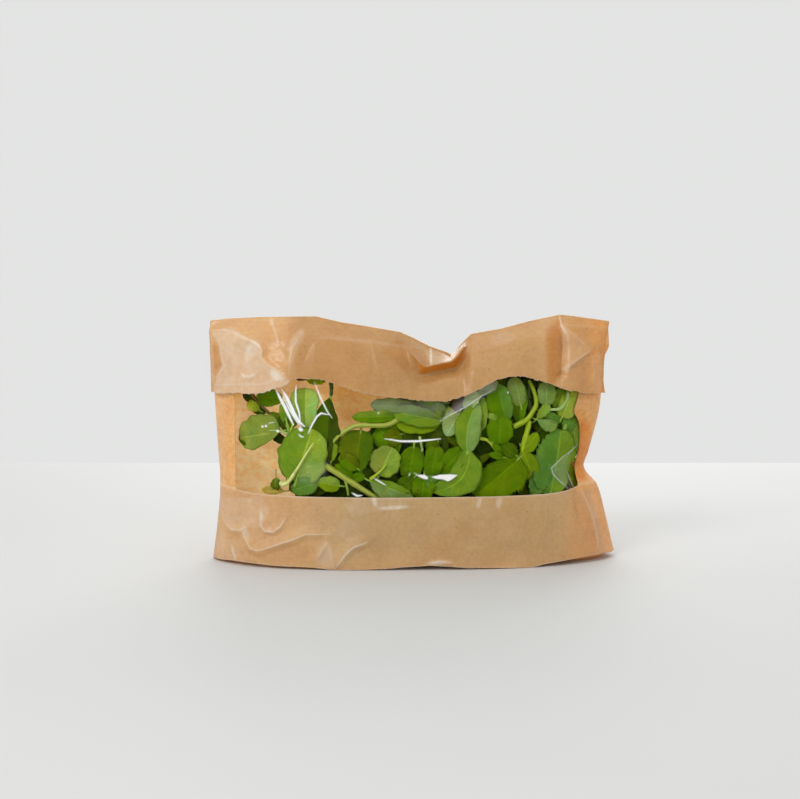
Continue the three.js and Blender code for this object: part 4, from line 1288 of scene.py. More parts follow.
SHOWN_LEAVES = [
    # At the left end, against bare paper.
    Leaf((281, 431.5), (238.5, 438), (8.4, 0.7), (13, 0.4), (6.5, 3.5), "sage", sharp=0.42,
         arch=2.5),
    Leaf((258, 441), (238, 437.5), 4, 6, (7.5, 5), "shaded", sharp=0.5),
    Leaf((296, 482), (312, 428.5), 16, (15, 0.42), (4.4, 4.6), "leafy", "light", sharp=0.42,
         fold=0.04, arch=1, under=1),
    Leaf((305.5, 432), (306, 388), (10, 0.72), (8, 0.7), (6.5, 5), "light", "bright", sharp=0.4,
         roll=5, fold=0.3),
    Leaf((331, 396), (325, 457), (8.6, 0.62), (9.6, 0.52), (10, 8), "dark", "shaded", sharp=0.9,
         roll=8, fold=0.3, arch=2),
    Leaf((331, 462), (335, 438), 3.4, 3, (8, 6.5), "dark", "leafy", fold=0.3),
    Leaf((256, 397), (281.5, 398), (5.4, 0.55), 5.6, (10, 7), "fresh", sharp=0.4),
    Leaf((259, 410), (247.5, 401.5), 3.4, 3.2, (8.5, 7.5), "yellow", sharp=0.4),
    Leaf((328, 378), (306, 380), 3.6, 2.6, (9, 8), "moss", spots=0.6),
    Leaf((312, 375), (296, 379.5), 2, 2, (11, 10), "brown"),
    Leaf((243, 393), (258, 403), 3.4, 3, (11, 10), "dark"),
    Leaf((266, 413), (252, 407), 3, 3, (11, 10), "dark"),
    Leaf((284, 426), (269, 413), 3.4, 4, (9, 8), "olive"),
    Leaf((286.5, 431), (281, 414), 3, 3.4, (8, 7), "dark"),
    Leaf((293, 428), (283, 402), 5, 6.5, (8.8, 7.6), "leafy", sharp=0.5),
    Leaf((287, 442), (272, 433), 3.6, 2.6, (11, 10), "deep"),
    Leaf((286, 477), (280, 453), 2.6, 5, (8, 6.6), "leafy"),
    Leaf((276, 478), (277, 491), 3, 3, (4.4, 4.4), "olive", roll=30, fold=0.4),
    Leaf((284, 491), (261, 490), 2.2, 2.8, (6, 6), "straw", sharp=0.5),
    Leaf((319, 482), (291, 490), (6, 0.45), 6, (6, 5), "blue", teeth=8),
    Leaf((340, 486), (317, 482), (4.8, 0.42), (5.2, 0.4), (5, 5), "lime", "light", sharp=0.6),
    # The middle, from the serrated dark leaf to the long ones under the flap.
    Leaf((361, 430), (356, 472), (9.6, 0.38), (12.4, 0.42), (9, 6), "shaded", "olive", sharp=0.5,
         roll=6, fold=0.2, arch=2, teeth=10, spots=0.1),
    Leaf((358, 469), (340, 455), 5, 5.4, (6, 5), "fresh", "olive", sharp=0.5, fold=0.2, teeth=5,
         spots=0.2),
    Leaf((353, 478), (335, 465), 3, 4, (6.5, 6), "fresh"),
    Leaf((379, 475), (392.5, 447.5), 9.6, (9.4, 0.46), (3.4, 3.2), "sage", "light", sharp=0.42,
         fold=0.05, arch=0.6, under=1),
    Leaf((370, 481), (414, 497), 4.4, 8, (4.5, 4), "leafy", "hazy", sharp=0.7, fold=0.25),
    Leaf((351, 479), (365, 476), 3.4, 3, (6.5, 6), "fresh"),
    Leaf((402, 415.5), (352, 417.5), 3.8, 4, (7.5, 6), "fresh", "leafy", sharp=0.45, fold=0.35),
    Leaf((414, 407), (370.5, 405), 4.4, 5, (5.6, 6), "hazy", sharp=0.45),
    Leaf((442, 421), (392, 411), 6.5, (6.5, 0.55), (4.6, 5.2), "leafy", "hazy", sharp=0.5,
         fold=0.2),
    Leaf((441, 423.5), (395.5, 423), (6.6, 0.55), 4, (7, 6.4), "lime", "olive", sharp=0.5,
         fold=0.35),
    Leaf((402, 434), (383.5, 441), 5.8, 5.6, (8.5, 7.5), "olive", sharp=0.45),
    Leaf((446, 414), (430, 405), 5, 4.4, (6.4, 6.4), "grey", sharp=0.4),
    Leaf((441, 418), (434, 410), 3, 3, (5.2, 5.2), "leafy", roll=20, sharp=0.4),
    Leaf((459.5, 413), (446, 436), (4.6, 0.6), (7.4, 0.35), (5.5, 5.5), "pale", under=1),
    Leaf((453.5, 415), (446, 408), 2.4, 2.4, (5.6, 5), "yellow", sharp=0.4),
    Leaf((465, 410), (480, 391.5), (5.6, 0.55), 3.6, (4, 3), "pale", sharp=0.4),
    Leaf((455, 413), (467, 394), 5.5, 5.5, (9.5, 9.5), "brown", sharp=0.4),
    Leaf((447, 441), (427, 431), 4.4, 4.4, (8.5, 7.5), "dark"),
    Leaf((414, 446), (408, 481), (8.6, 0.42), (7.6, 0.45), (8, 6.6), "fresh", "fresh", sharp=0.6,
         fold=0.2, teeth=9, spots=0.7),
    Leaf((437, 446), (430.5, 478), (6.4, 0.45), (6.6, 0.42), (5.6, 5), "fresh", sharp=0.42,
         fold=0.15),
    Leaf((463.5, 448.5), (440, 473), (6.8, 0.45), (6.6, 0.48), (5, 4.6), "fresh", sharp=0.45,
         fold=0.2, spots=0.4),
    Leaf((438.5, 451.5), (427, 441), 4.2, 4.2, (6.6, 6.6), "shaded", sharp=0.45),
    Leaf((424, 476), (422, 500), (7.6, 0.42), (7.4, 0.42), (4.8, 4.2), "fresh", sharp=0.5, teeth=7,
         spots=0.7),
    Leaf((424, 477), (442, 487), 4, 4.4, (4.4, 4.4), "blue"),
    Leaf((415, 477), (397, 491), 5.6, 5.4, (5.6, 5.2), "shaded", teeth=7),
    # Right of the middle.
    Leaf((467, 452.5), (478.5, 400.5), (8.2, 0.42), (8.6, 0.42), (3.6, 3), "leafy", "grey",
         sharp=0.8, fold=0.25, bow=-3),
    Leaf((481, 431), (484, 397), 3.2, (3.4, 0.45), (5.5, 4.4), "leafy", "light", sharp=0.5),
    Leaf((507, 421.5), (497, 383.5), (9.4, 0.55), 6.6, (5.2, 3.8), "fresh", "blue", sharp=0.5,
         roll=-4, fold=0.3),
    Leaf((521, 406), (514, 377), 6.4, 5, (5, 4), "hazy", sharp=0.4),
    Leaf((519, 422.5), (523, 384), (5.6, 0.45), 4, (7, 6), "shaded", "fresh", fold=0.3),
    Leaf((500, 400), (503, 374), 6, 6, (8, 7), "shaded", "dark"),
    Leaf((527, 398), (531, 374), 5, 5, (10, 9), "deep"),
    Leaf((486, 399), (489, 376), 5, 5, (10, 9), "dark"),
    Leaf((559, 402), (553, 380), 4.6, 4.6, (10, 8), "shaded"),
    Leaf((478, 393.5), (497, 379), 3, 4.4, (3.4, 3.4), "hazy", sharp=0.4),
    Leaf((500, 416), (499, 444.5), 8.4, (8.4, 0.48), (5, 5), "fresh", sharp=0.36, roll=-5, arch=2),
    Leaf((498, 419), (486.5, 414), 2.2, 2.2, (4.6, 4.6), "light", sharp=0.4),
    Leaf((470.5, 450.5), (433.5, 492.5), (12, 0.3), (8.4, 0.45), (3.6, 2.4), "leafy", "leafy",
         sharp=0.5, fold=0.1, bow=-7, under=1),
    Leaf((520, 457.5), (475, 496), (15.5, 0.36), 10, (6, 4.6), "golden", "vivid", sharp=0.5,
         fold=0.06, arch=2, teeth=15, spots=0.5),
    Leaf((522, 449), (536, 483), 6, 5.6, (6.6, 5.6), "lime", spots=0.6),
    Leaf((521, 453), (538, 433), 4, 5, (7, 6), "lime"),
    Leaf((493, 442.5), (502, 456), 2.4, 2.2, (5, 5.5), "fresh"),
    Leaf((517, 456), (501, 444), 4.4, 5, (6.2, 6.2), "shaded"),
    Leaf((504, 457.5), (489, 454), 2.2, 2.6, (5.2, 5.2), "fresh"),
    Leaf((480, 438), (489, 459), 5, 5, (11, 10), "deep"),
    # The right end, with its big toothed leaf.
    Leaf((546, 405), (547, 382), 5.8, 6, (6, 4.4), "grey", sharp=0.3),
    Leaf((557, 409), (561, 388.5), 4.4, 3.4, (7, 5.6), "leafy", sharp=0.4),
    Leaf((562, 417.5), (574, 388), (5.6, 0.45), (8, 0.45), (5, 3.4), "light", "sunlit", sharp=0.42),
    Leaf((577, 418), (570, 396), 3, 4, (6.5, 5), "leafy", sharp=0.5),
    Leaf((446, 403), (416, 400.5), 4.4, 3.6, (7.5, 7.5), "leafy", sharp=0.45),
    Leaf((567.5, 457), (571.5, 470), 2.2, 2.6, (3.4, 3.4), "rust"),
    Leaf((572, 466), (577, 484), 2.2, 2.6, (4.4, 3.8), "light"),
    Leaf((537, 418.5), (549, 403.5), (2.8, 0.6), (3.4, 0.6), (5.4, 5), "light", sharp=0.4),
    Leaf((538, 420), (558, 425), (2.2, 0.6), (5.6, 0.6), (5, 4), "grey", sharp=0.4),
    Leaf((544, 413.5), (562, 421), 2.8, 3.4, (6, 6), "blue", sharp=0.45),
    Leaf((565, 434), (572, 413), 4.4, 4.4, (5.4, 4.6), "blue", teeth=6),
    Leaf((573, 459), (575.5, 419), 4.2, 3.6, (4.6, 4), "light", sharp=0.5, teeth=9, under=1),
    Leaf((550, 496), (561, 430), (15, 0.45), 13, (4, 3), "blue", "leafy", sharp=0.5, fold=0.1,
         arch=1.5, bow=0.8, teeth=12),
    Leaf((549, 461), (533, 495), 6, 7, (6.6, 5.6), "blue", teeth=9),
    Leaf((566, 461), (575, 490), 4, 4, (5, 4.6), "olive", fold=0.3, spots=0.9),
]

# Stems: pixels and mm behind the film along each, with the radius in mm, and their green.
Stem = collections.namedtuple("Stem", "path radius green")
SHOWN_STEMS = [
    Stem([(285, 410, 9), (286.5, 420, 7), (289, 431, 6.5), (291, 440, 9)], (0.8, 1.0), "light"),
    Stem([(294, 423, 7), (291.5, 429, 6.4), (289.5, 436, 7.5)], (0.7, 0.8), "yellow"),
    Stem([(269, 430.5, 4.6), (276, 430.5, 5), (283, 432, 5.6), (288, 434.5, 6.6)],
         (0.3, 0.8), "pale"),
    Stem([(251, 393, 10), (255, 399, 9), (263, 407, 9), (270, 414, 10)], (0.7, 0.8), "brown"),
    Stem([(280, 483, 4.2), (284, 484.5, 3), (289.5, 480.5, 2.4), (295.5, 471.5, 2.3),
          (305, 456, 2.3), (314, 442, 2.8)], (1.7, 0.3), "cream"),
    Stem([(331, 382, 8), (331.5, 388, 8), (331, 396, 8.5)], (1.3, 0.9), "dark"),
    Stem([(329, 448, 9), (336.8, 438, 7), (345, 431, 6), (355, 426, 6), (369, 425, 6),
          (383, 425.5, 5.5), (392, 423, 6), (400, 418, 7.5), (405, 415, 10)], (1.3, 1.5),
         "stalk"),
    Stem([(325.5, 465, 9), (330, 468.3, 5.2), (340, 475, 4), (352, 482.5, 4), (362, 489, 4.5),
          (373, 496, 5), (384, 503, 7)], (1.6, 1.5), "stalk"),
    Stem([(345, 480, 5), (347, 487, 4.5), (348.5, 496, 5)], (0.7, 0.6), "light"),
    Stem([(387, 464, 2.2), (381, 470.5, 1.6), (376, 475, 2.4), (370, 479.5, 4.4)], (0.3, 1.0),
         "yellow"),
    Stem([(419.6, 436, 6), (421, 443, 5.5), (422.6, 452, 6)], (0.8, 0.7), "pale"),
    Stem([(468.3, 451.5, 3.2), (466, 455, 4), (462, 459, 7)], (0.9, 0.9), "light"),
    Stem([(513, 427, 6), (520, 423.5, 5), (527.8, 418.5, 5), (533, 411, 5), (536, 404.7, 5),
          (535.4, 396, 5), (532.7, 388, 5.5), (528.6, 380, 7)], (1.6, 1.0), "moss"),
    Stem([(477.8, 438, 6), (484, 439, 6), (489, 441, 6), (493, 446, 6.5), (497, 452, 8)],
         (1.0, 0.9), "yellow"),
    Stem([(529.5, 420, 7), (527, 432, 6.5), (524, 442, 6.5), (522, 452, 8)], (1.5, 1.4),
         "moss"),
    Stem([(279, 479, 5), (276.5, 482, 4.2), (278, 485.5, 4.2), (282, 484.5, 5)], (1.6, 1.2),
         "olive"),
    Stem([(567.8, 392.4, 3), (567.5, 398, 3.5), (565, 403, 4), (559.6, 408.7, 4.5),
          (550.6, 409.6, 5), (544, 410, 6)], (0.8, 0.9), "pale"),
    Stem([(529, 381, 9), (529, 396, 9), (530, 411, 9)], (1.2, 1.2), "dark"),
    Stem([(563, 433, 3.2), (565, 427, 4.5), (566, 419, 7)], (1.1, 1.0), "light"),
    Stem([(573, 489, 7), (573.5, 474, 7), (574, 460, 8)], (0.9, 0.8), "fresh"),
]

# The heap's ends, and (x, height) of its top line, as the mint lies in the pack.
HEAP_LEFT, HEAP_RIGHT = -76.0, 100.0
HEAP_TOP = [(-84, 60), (-70, 84), (-56, 82), (-40, 80), (-28, 84), (-20, 104), (0, 106),
            (20, 110), (40, 118), (70, 122), (100, 115)]
heap_top = line_through(HEAP_TOP)

# Seeded phases lie between 0 and this, about a full turn.
FULL_TURN = 6.3


def leaf_sides(leaf):
    """The width of the left and the right side, each with the share where it is widest."""
    return [side if isinstance(side, tuple) else (side, 0.5) for side in (leaf.left, leaf.right)]


def leaf_outline(leaf, s, t, draw):
    """Each side's width, its half width along the leaf, and how far the edge is pushed on.

    With s from stalk to tip, the half width is the width times (s / w)^p ((1 - s) / (1 - w))^q:
    w is where it is widest, q the tip's sharpness, and p makes it peak at w. Two sines make it
    uneven, and teeth lengthen it and push it towards the tip.
    """
    width, widest = (np.where(t < 0, left, right) for left, right in zip(*leaf_sides(leaf)))
    swell = leaf.sharp * widest / (1 - widest)
    outline = (s / widest) ** swell * ((1 - s) / (1 - widest)) ** leaf.sharp
    first, second = draw.uniform(0, FULL_TURN, 2)
    outline = outline * (1 + 0.035 * np.sin(14 * s + first + np.sign(t))
                         + 0.03 * np.sin(25 * s + second + np.sign(t)))
    edge = np.abs(t) ** 5
    if leaf.teeth:
        tooth = np.mod(s * leaf.teeth + 0.15, 1.0)
        outline = outline * (1 + 0.14 * edge * (tooth - 0.6) * np.sin(np.pi * s) ** 0.5)
        pushed = 0.035 * edge * tooth
    else:
        pushed = 0.006 * edge * np.sin(2 * np.pi * 5 * s)
    return width, width * outline, pushed


def leaf_relief(leaf, s, t, width, half, draw):
    """The height of a leaf over its flat plane, on the side that it shows.

    |t|^1.2 times the fold lifts the halves, half a sine arches it and its tip droops, folds
    along the side veins quilt it, the midrib is sunk, and a sine makes its edges wavy.
    """
    phase = 7 * (s - 0.3 * np.abs(t) ** 1.15)
    quilt = 0.3 * np.abs(np.sin(np.pi * phase)) * (1 - np.abs(t) ** 5) * np.sin(np.pi * s)
    midrib = 0.35 * np.exp(-((t * half / 0.8) ** 2)) * (1 - s)
    turn = 2 * np.pi * 1.8 * s + draw.uniform(0, FULL_TURN) + 1.4 * np.sign(t)
    wavy = width * 0.06 * np.abs(t) ** 1.5 * np.sin(turn)
    arched = leaf.arch * (np.sin(np.pi * s) - 0.7 * s * s)
    folded = leaf.fold * np.abs(t) ** 1.2 * half
    return folded + arched + wavy + (quilt - midrib) * (-1 if leaf.under else 1)


def leaf_sheet(ends, leaf, rows, columns, draw):
    """Points, UVs and the tint of one leaf: its outline and relief, laid between its two ends.

    The leaf faces the window, turned by its roll about its length, and bows to one side by half
    a sine.
    """
    base, tip = ends
    s, t = np.meshgrid(np.linspace(0, 1, rows), np.linspace(-1, 1, columns), indexing="ij")
    length = np.linalg.norm(tip - base)
    along = (tip - base) / length
    roll = math.radians(leaf.roll)
    sideways = np.cross(along, (0, -1, 0.1))
    sideways /= np.linalg.norm(sideways)
    facing = np.cross(sideways, along) * math.cos(roll) + sideways * math.sin(roll)
    across = np.cross(along, facing)
    width, half, pushed = leaf_outline(leaf, s, t, draw)
    rise = leaf_relief(leaf, s, t, width, half, draw)
    places = (length * (s + pushed), half * t + leaf.bow * np.sin(np.pi * s), rise)
    points = base + sum(place[..., None] * axis
                        for place, axis in zip(places, (along, across, facing)))
    # Each half's green; where they differ, partly the leaf's own colour and partly painted light
    # and shade of halves turned towards and away from the light.
    near = np.array(linear(*GREENS[leaf.green]))
    far = np.array(linear(*GREENS[leaf.other or leaf.green]))
    tint = mix(near, far, ease(t * 4 + 0.5)[..., None]) * LEAF_GAIN * draw.uniform(0.94, 1.08)
    # Painted shade: a little darker towards the stalk end and at the edges.
    shade = (1 - 0.1 * (1 - s)) * (1 - 0.3 * ease((np.abs(t) - 0.86) / 0.14))
    return points, np.stack([(t + 1) / 2, s], -1), tint * shade[..., None]


def inside_bag(points, gap):
    """Moves points that would touch the film or the back to a gap's distance inside them."""
    x, y, z = points.T
    points[:, 2] = np.clip(z, 1.2, top_fold(x) - 4)
    u, v = uv_at(x, points[:, 2])
    front = front_y(u, v) + gap
    points[:, 1] = np.clip(y, front, np.maximum(back_y(u, v) - gap, front))
    return points


def join_leaves(name, leaves, material, shape, thickness, seed, gap=1.6):
    """One mesh of many leaves, each given as its ends and its Leaf, all a gap inside the bag."""
    draw = np.random.default_rng(seed)
    count = math.prod(shape)
    sheets = [leaf_sheet(ends, leaf, *shape, draw) for ends, leaf in leaves]
    points, uvs, tints = (np.concatenate([part.reshape(count, -1) for part in parts])
                          for parts in zip(*sheets))
    quads = np.concatenate([grid_quads(*shape, start=k * count) for k in range(len(leaves))])
    under, spots = (np.repeat([float(value) for value in values], count)
                    for values in zip(*((leaf.under, leaf.spots) for _, leaf in leaves)))
    piece = add_piece(name, inside_bag(points, gap), quads, material, uv=uvs, colors=tints,
                      marks={"Under": under, "Spots": spots})
    if thickness:
        give_thickness(piece, thickness)
    return piece


def shown_leaves(toothed):
    """The leaves that the window shows, with their ends in the pack, plain or toothed."""
    return [((on_front(leaf.stalk, leaf.behind[0]), on_front(leaf.tip, leaf.behind[1])), leaf)
            for leaf in SHOWN_LEAVES if bool(leaf.teeth) == toothed]


# The strewn leaves: their lengths, how wide they are for their length, and the shortest kept.
STREWN_LENGTHS = (17, 29)
STREWN_WIDTHS = (0.5, 0.72)
STREWN_SHORTEST = 10
# The share of the strewn leaves that lie nearer, the greens of both sets, and how far inside
# the bag they all stay, so that none comes in front of a shown leaf.
NEARER_SHARE = 0.45
# Both sets take dark greens, the deeper set darker still, as painted shade deep among the leaves.
NEARER_GREENS = ("fresh", "shaded", "dark", "olive", "deep")
DEEPER_GREENS = ("dark", "deep", "deep", "olive")
BEHIND_GAP = 7.5


def strewn_leaves(seed, count, low, high, greens):
    """Seeded leaves behind the shown ones, all over the heap's front, some at every turn.

    Each is so many mm behind the front, between low and high, with its stalk end deeper.
    """
    draw = np.random.default_rng(seed)
    leaves = []
    while len(leaves) < count:
        x = draw.uniform(HEAP_LEFT + 4, HEAP_RIGHT - 3)
        z = draw.uniform(8, 122)
        behind, turn = draw.uniform(low, high), draw.uniform(0, 2 * np.pi)
        length, width = draw.uniform(*STREWN_LENGTHS), draw.uniform(*STREWN_WIDTHS)
        roll, green = draw.uniform(-45, 45), greens[draw.integers(len(greens))]
        under = int(draw.uniform() < 0.2)
        if z > heap_top(x) - 4:
            continue
        ends = []
        for sign, deeper in ((-1, 4), (1, -2)):
            reach = sign * length / 2
            end_x = np.clip(x + reach * math.cos(turn), HEAP_LEFT - 3, HEAP_RIGHT + 1)
            end_z = np.clip(z + reach * math.sin(turn), 4, heap_top(end_x) + 2)
            ends.append(np.array([end_x, front_at(end_x, end_z) + behind + deeper, end_z]))
        if np.linalg.norm(ends[1] - ends[0]) < STREWN_SHORTEST:
            continue
        side = (length * width / 2, draw.uniform(0.36, 0.5))
        leaf = Leaf((0, 0), (0, 0), side, side, (0, 0), green, roll=roll, fold=0.2,
                    arch=draw.uniform(0.5, 3), bow=draw.uniform(-1.5, 1.5), under=under)
        leaves.append((ends, leaf))
    return leaves


def stem_tube(path, radii, sides, steps, start):
    """A square-shouldered stem along a smooth path, closed to a point at both ends.

    Each ring is a circle whose radius grows by 12% at four corners; it swells at its nodes.
    """
    path = np.array(path)
    knots = np.linspace(0, 1, len(path))
    at = np.linspace(0, 1, steps)
    lines = [line_through(list(zip(knots, path[:, k]))) for k in range(3)]
    middle = np.stack([line(at) for line in lines], -1)
    forward = np.gradient(middle, axis=0)
    forward /= np.linalg.norm(forward, axis=1, keepdims=True)
    side = np.cross(forward, (0.15, -1, 0.2))
    side /= np.linalg.norm(side, axis=1, keepdims=True)
    up = np.cross(side, forward)
    turn = np.linspace(0, 2 * np.pi, sides + 1)
    ring = 1 + 0.12 * np.cos(4 * turn + 0.6)
    radius = mix(radii[0], radii[1], at) * (1 + 0.12 * np.sin(at * 9) ** 8)
    radius[0] = radius[-1] = 0.02
    spread = radius[:, None] * ring
    points = middle[:, None] + sum((spread * part)[..., None] * axis[:, None]
                                   for part, axis in ((np.cos(turn), side), (np.sin(turn), up)))
    length = np.concatenate([[0], np.cumsum(np.linalg.norm(np.diff(middle, axis=0), axis=1))])
    uv = np.stack(np.broadcast_arrays(turn / (2 * np.pi), length[:, None] / 10), -1)
    return points, uv, grid_quads(steps, sides + 1, start=start)


def leaf_stalks():
    """A short stalk for every shown leaf, from its stalk end back into the heap."""
    stalks = []
    inwards = np.array([0, 1.0, 0])
    for (base, tip), leaf in shown_leaves(False) + shown_leaves(True):
        back = (base - tip) / np.linalg.norm(base - tip)
        width = sum(side for side, _ in leaf_sides(leaf))
        path = [base - back * 0.12 * width, base + back * 2.5 + inwards,
                base + back * 4.5 + inwards * 5]
        size = 0.03 * width + 0.25
        stalks.append((path, (size * 0.7, size), "light"))
    return stalks


STEMS_BEHIND = 16
STEM_SIDES = 12
# How far inside the bag every stem stays, and how deep the ones behind the leaves lie.
STEM_GAP = 1.2
STEM_DEPTH = 13


def stems_behind(draw):
    """Seeded stems behind the leaves, nearly level, each bent a little deeper at its ends."""
    stems = []
    for _ in range(STEMS_BEHIND):
        x, turn, half = draw.uniform(-60, 84), draw.uniform(-0.6, 0.6), draw.uniform(14, 30)
        z = draw.uniform(20, heap_top(x) - 12)
        path = []
        for share in (-1, -0.4, 0.3, 1):
            at_x = x + half * share * math.cos(turn)
            at_z = z + half * share * math.sin(turn)
            deep = front_at(at_x, at_z) + STEM_DEPTH + 3 * share * share
            path.append(np.array([at_x, deep, at_z]))
        stems.append((path, (1.5, 1.2), "olive"))
    return stems


def make_stems():
    """Every stem and leaf stalk as one piece."""
    draw = np.random.default_rng(61)
    wanted = [([on_front(spot[:2], spot[2]) for spot in stem.path], stem.radius, stem.green)
              for stem in SHOWN_STEMS]
    wanted += stems_behind(draw) + leaf_stalks()
    points, uvs, tints, quads, start = [], [], [], [], 0
    for path, radii, green in wanted:
        tube, uv, faces = stem_tube(path, radii, STEM_SIDES, 10 * len(path), start)
        tube = inside_bag(tube.reshape(-1, 3), STEM_GAP)
        start += len(tube)
        tint = np.array(linear(*GREENS[green])) * STEM_GAIN * draw.uniform(0.9, 1.1)
        points.append(tube)
        uvs.append(uv.reshape(-1, 2))
        tints.append(np.broadcast_to(tint, tube.shape))
        quads.append(faces)
    return add_piece("mint_stems", np.concatenate(points), np.concatenate(quads),
                     stem_material(), uv=np.concatenate(uvs), colors=np.concatenate(tints))


# How far the heap's core stays behind the front and before the back.
CORE_BEHIND_FRONT = 15
CORE_BEFORE_BACK = 4


def make_heap():
    """The heap's own core: a rounded slab in the bag, uneven by sines in x and height."""
    s, t = np.meshgrid(np.linspace(-1, 1, 90), np.linspace(-1, 1, 50))
    across, up = np.sin(s * np.pi / 2), np.sin(t * np.pi / 2)
    x = mix(HEAP_LEFT, HEAP_RIGHT, (across + 1) / 2)
    z = mix(4.0, heap_top(x) - 3, (up + 1) / 2)
    rounded = (np.cos(across * 1.5) * np.cos(up * 1.45)) ** 0.35
    rounded *= 1 - ease((np.maximum(np.abs(s), np.abs(t)) - 0.97) / 0.03)
    near = front_at(x, z) + CORE_BEHIND_FRONT
    far = np.maximum(back_at(x, z) - CORE_BEFORE_BACK, near + 2)
    uneven = 1.6 * np.sin(x / 7) * np.cos(z / 6) + 0.8 * np.sin(x / 3.1 + z / 4)
    half = ((far - near) / 2 - uneven) * rounded
    sides = [np.stack([x, (near + far) / 2 + sign * half, z], -1) for sign in (-1, 1)]
    quads = grid_quads(*x.shape)
    return add_piece("mint_core", np.concatenate(sides),
                     np.concatenate([quads, quads[:, ::-1] + x.size]), heap_material())


# ---- What a user may change ----------------------------------------------------------------


class MintPackSizes(bpy.types.PropertyGroup):
    """Sizes of the paper, film and leaves."""

    paper: bpy.props.FloatProperty(
        name="Paper thickness", description="Thickness of one layer of kraft paper",
        default=0.25 * MM, min=0.05 * MM, max=1.2 * MM, unit="LENGTH", precision=5)
    film_depth: bpy.props.FloatProperty(
        name="Film depth", description="How far the film lies behind the paper's outer face",
        default=0.35 * MM, min=0.1 * MM, max=1.5 * MM, unit="LENGTH", precision=5)
    crease: bpy.props.FloatProperty(
        name="Creasing", description="Height of the paper's creases, 1 as in the photograph",
        default=1.0, min=0.0, max=1.5, subtype="FACTOR")
    leaf: bpy.props.FloatProperty(
        name="Leaf thickness", description="Thickness of one leaf",
        default=0.3 * MM, min=0.1 * MM, max=1 * MM, unit="LENGTH", precision=5)
    strewn: bpy.props.IntProperty(
        name="Leaves behind", description="How many leaves lie behind the ones at the window",
        default=190, min=1, max=400)


def color_property(name, description, color):
    """A colour setting with its default."""
    return bpy.props.FloatVectorProperty(
        name=name, description=description, default=color, size=3, min=0, max=1,
        subtype="COLOR")


class MintPackColors(bpy.types.PropertyGroup):
    """Colours of the paper, the film and the mint."""

    kraft: color_property("Kraft", "Paper under clear film", (0.76, 0.452, 0.203))
    # Painted shade where mint lies behind the paper.
    kraft_backed_shade: color_property("Kraft over mint", "How mint behind it darkens the paper",
                                 (0.86, 0.93, 0.92))
    # The inner side, painted lighter as lit through the back.
    kraft_inside_lit: color_property("Kraft, inner side", "The paper's side towards the mint",
                                 (0.87, 0.665, 0.425))
    # Painted glow of one layer of paper that light comes through.
    kraft_single_glow: color_property("Kraft, single", "One layer of paper, beside the window",
                                 (0.93, 0.56, 0.23))
    # The paper's paleness at creases, and the colour of painted highlights on it.
    crease: color_property("Crease", "Paper where creases or loose film make it pale",
                           (0.9, 0.785, 0.66))
    # Painted white highlights on the film.
    film_highlight: color_property("Film crease", "Film where it is creased", (0.95, 0.96, 0.95))
    leaf_spot: color_property("Brown flecks", "Bruised places of leaves and stems",
                              (0.16, 0.09, 0.02))
    # The heap's green, mostly painted shade deep in the heap.
    heap: color_property("Heap", "The dark inside of the heap", (0.03, 0.06, 0.008))


class MintPackStage(bpy.types.PropertyGroup):
    """The camera, the table and the lights."""

    lens: bpy.props.FloatProperty(
        name="Lens", description="Focal length of the camera", default=LENS_MM, min=20, max=300,
        unit="CAMERA")
    wall: color_property("Wall", "The pale surroundings", (0.767, 0.776, 0.767))
    floor: color_property("Floor", "The table", (0.64, 0.64, 0.635))
    key: bpy.props.FloatProperty(
        name="Key light", description="Power of the large light at the upper left",
        default=5.5, min=0, max=100, unit="POWER")


# ---- Operators -----------------------------------------------------------------------------


def finish_piece(piece, node):
    """Rides the piece on the one body, in place of its CAD node, which it hides."""
    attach(piece, "root")
    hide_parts(node)


def aim(thing, target):
    """Turns a light or camera so that it looks at a point."""
    direction = Vector(target) - thing.location
    thing.rotation_euler = direction.to_track_quat("-Z", "Y").to_euler()


# The soft lights: name, place and size in metres, and power, None being the key light's own.
SOFT_LIGHTS = [
    ("Key", (-0.62, -0.85, 1.0), (0.55, 0.42), None),
    ("Top", (0.1, 0.1, 1.3), (0.9, 0.5), 1.5),
    ("Back", (0.15, 0.95, 0.45), (1.0, 0.5), 5.0),
]
LIT_POINT = (0, 0, 0.08)
# The table: its sides from left to right and from front to back, mm.
TABLE_X = (-3000, 3000)
TABLE_Y = (-2600, 325)


def add_area_light(name, place, size, power):
    """A rectangular soft light that the camera doesn't see, turned to the pack."""
    lamp = bpy.data.lights.new(name, "AREA")
    lamp.shape = "RECTANGLE"
    lamp.size, lamp.size_y = size
    lamp.energy = power
    light = bpy.data.objects.new(name, lamp)
    light.location = place
    bpy.context.scene.collection.objects.link(light)
    aim(light, LIT_POINT)
    light.visible_camera = False


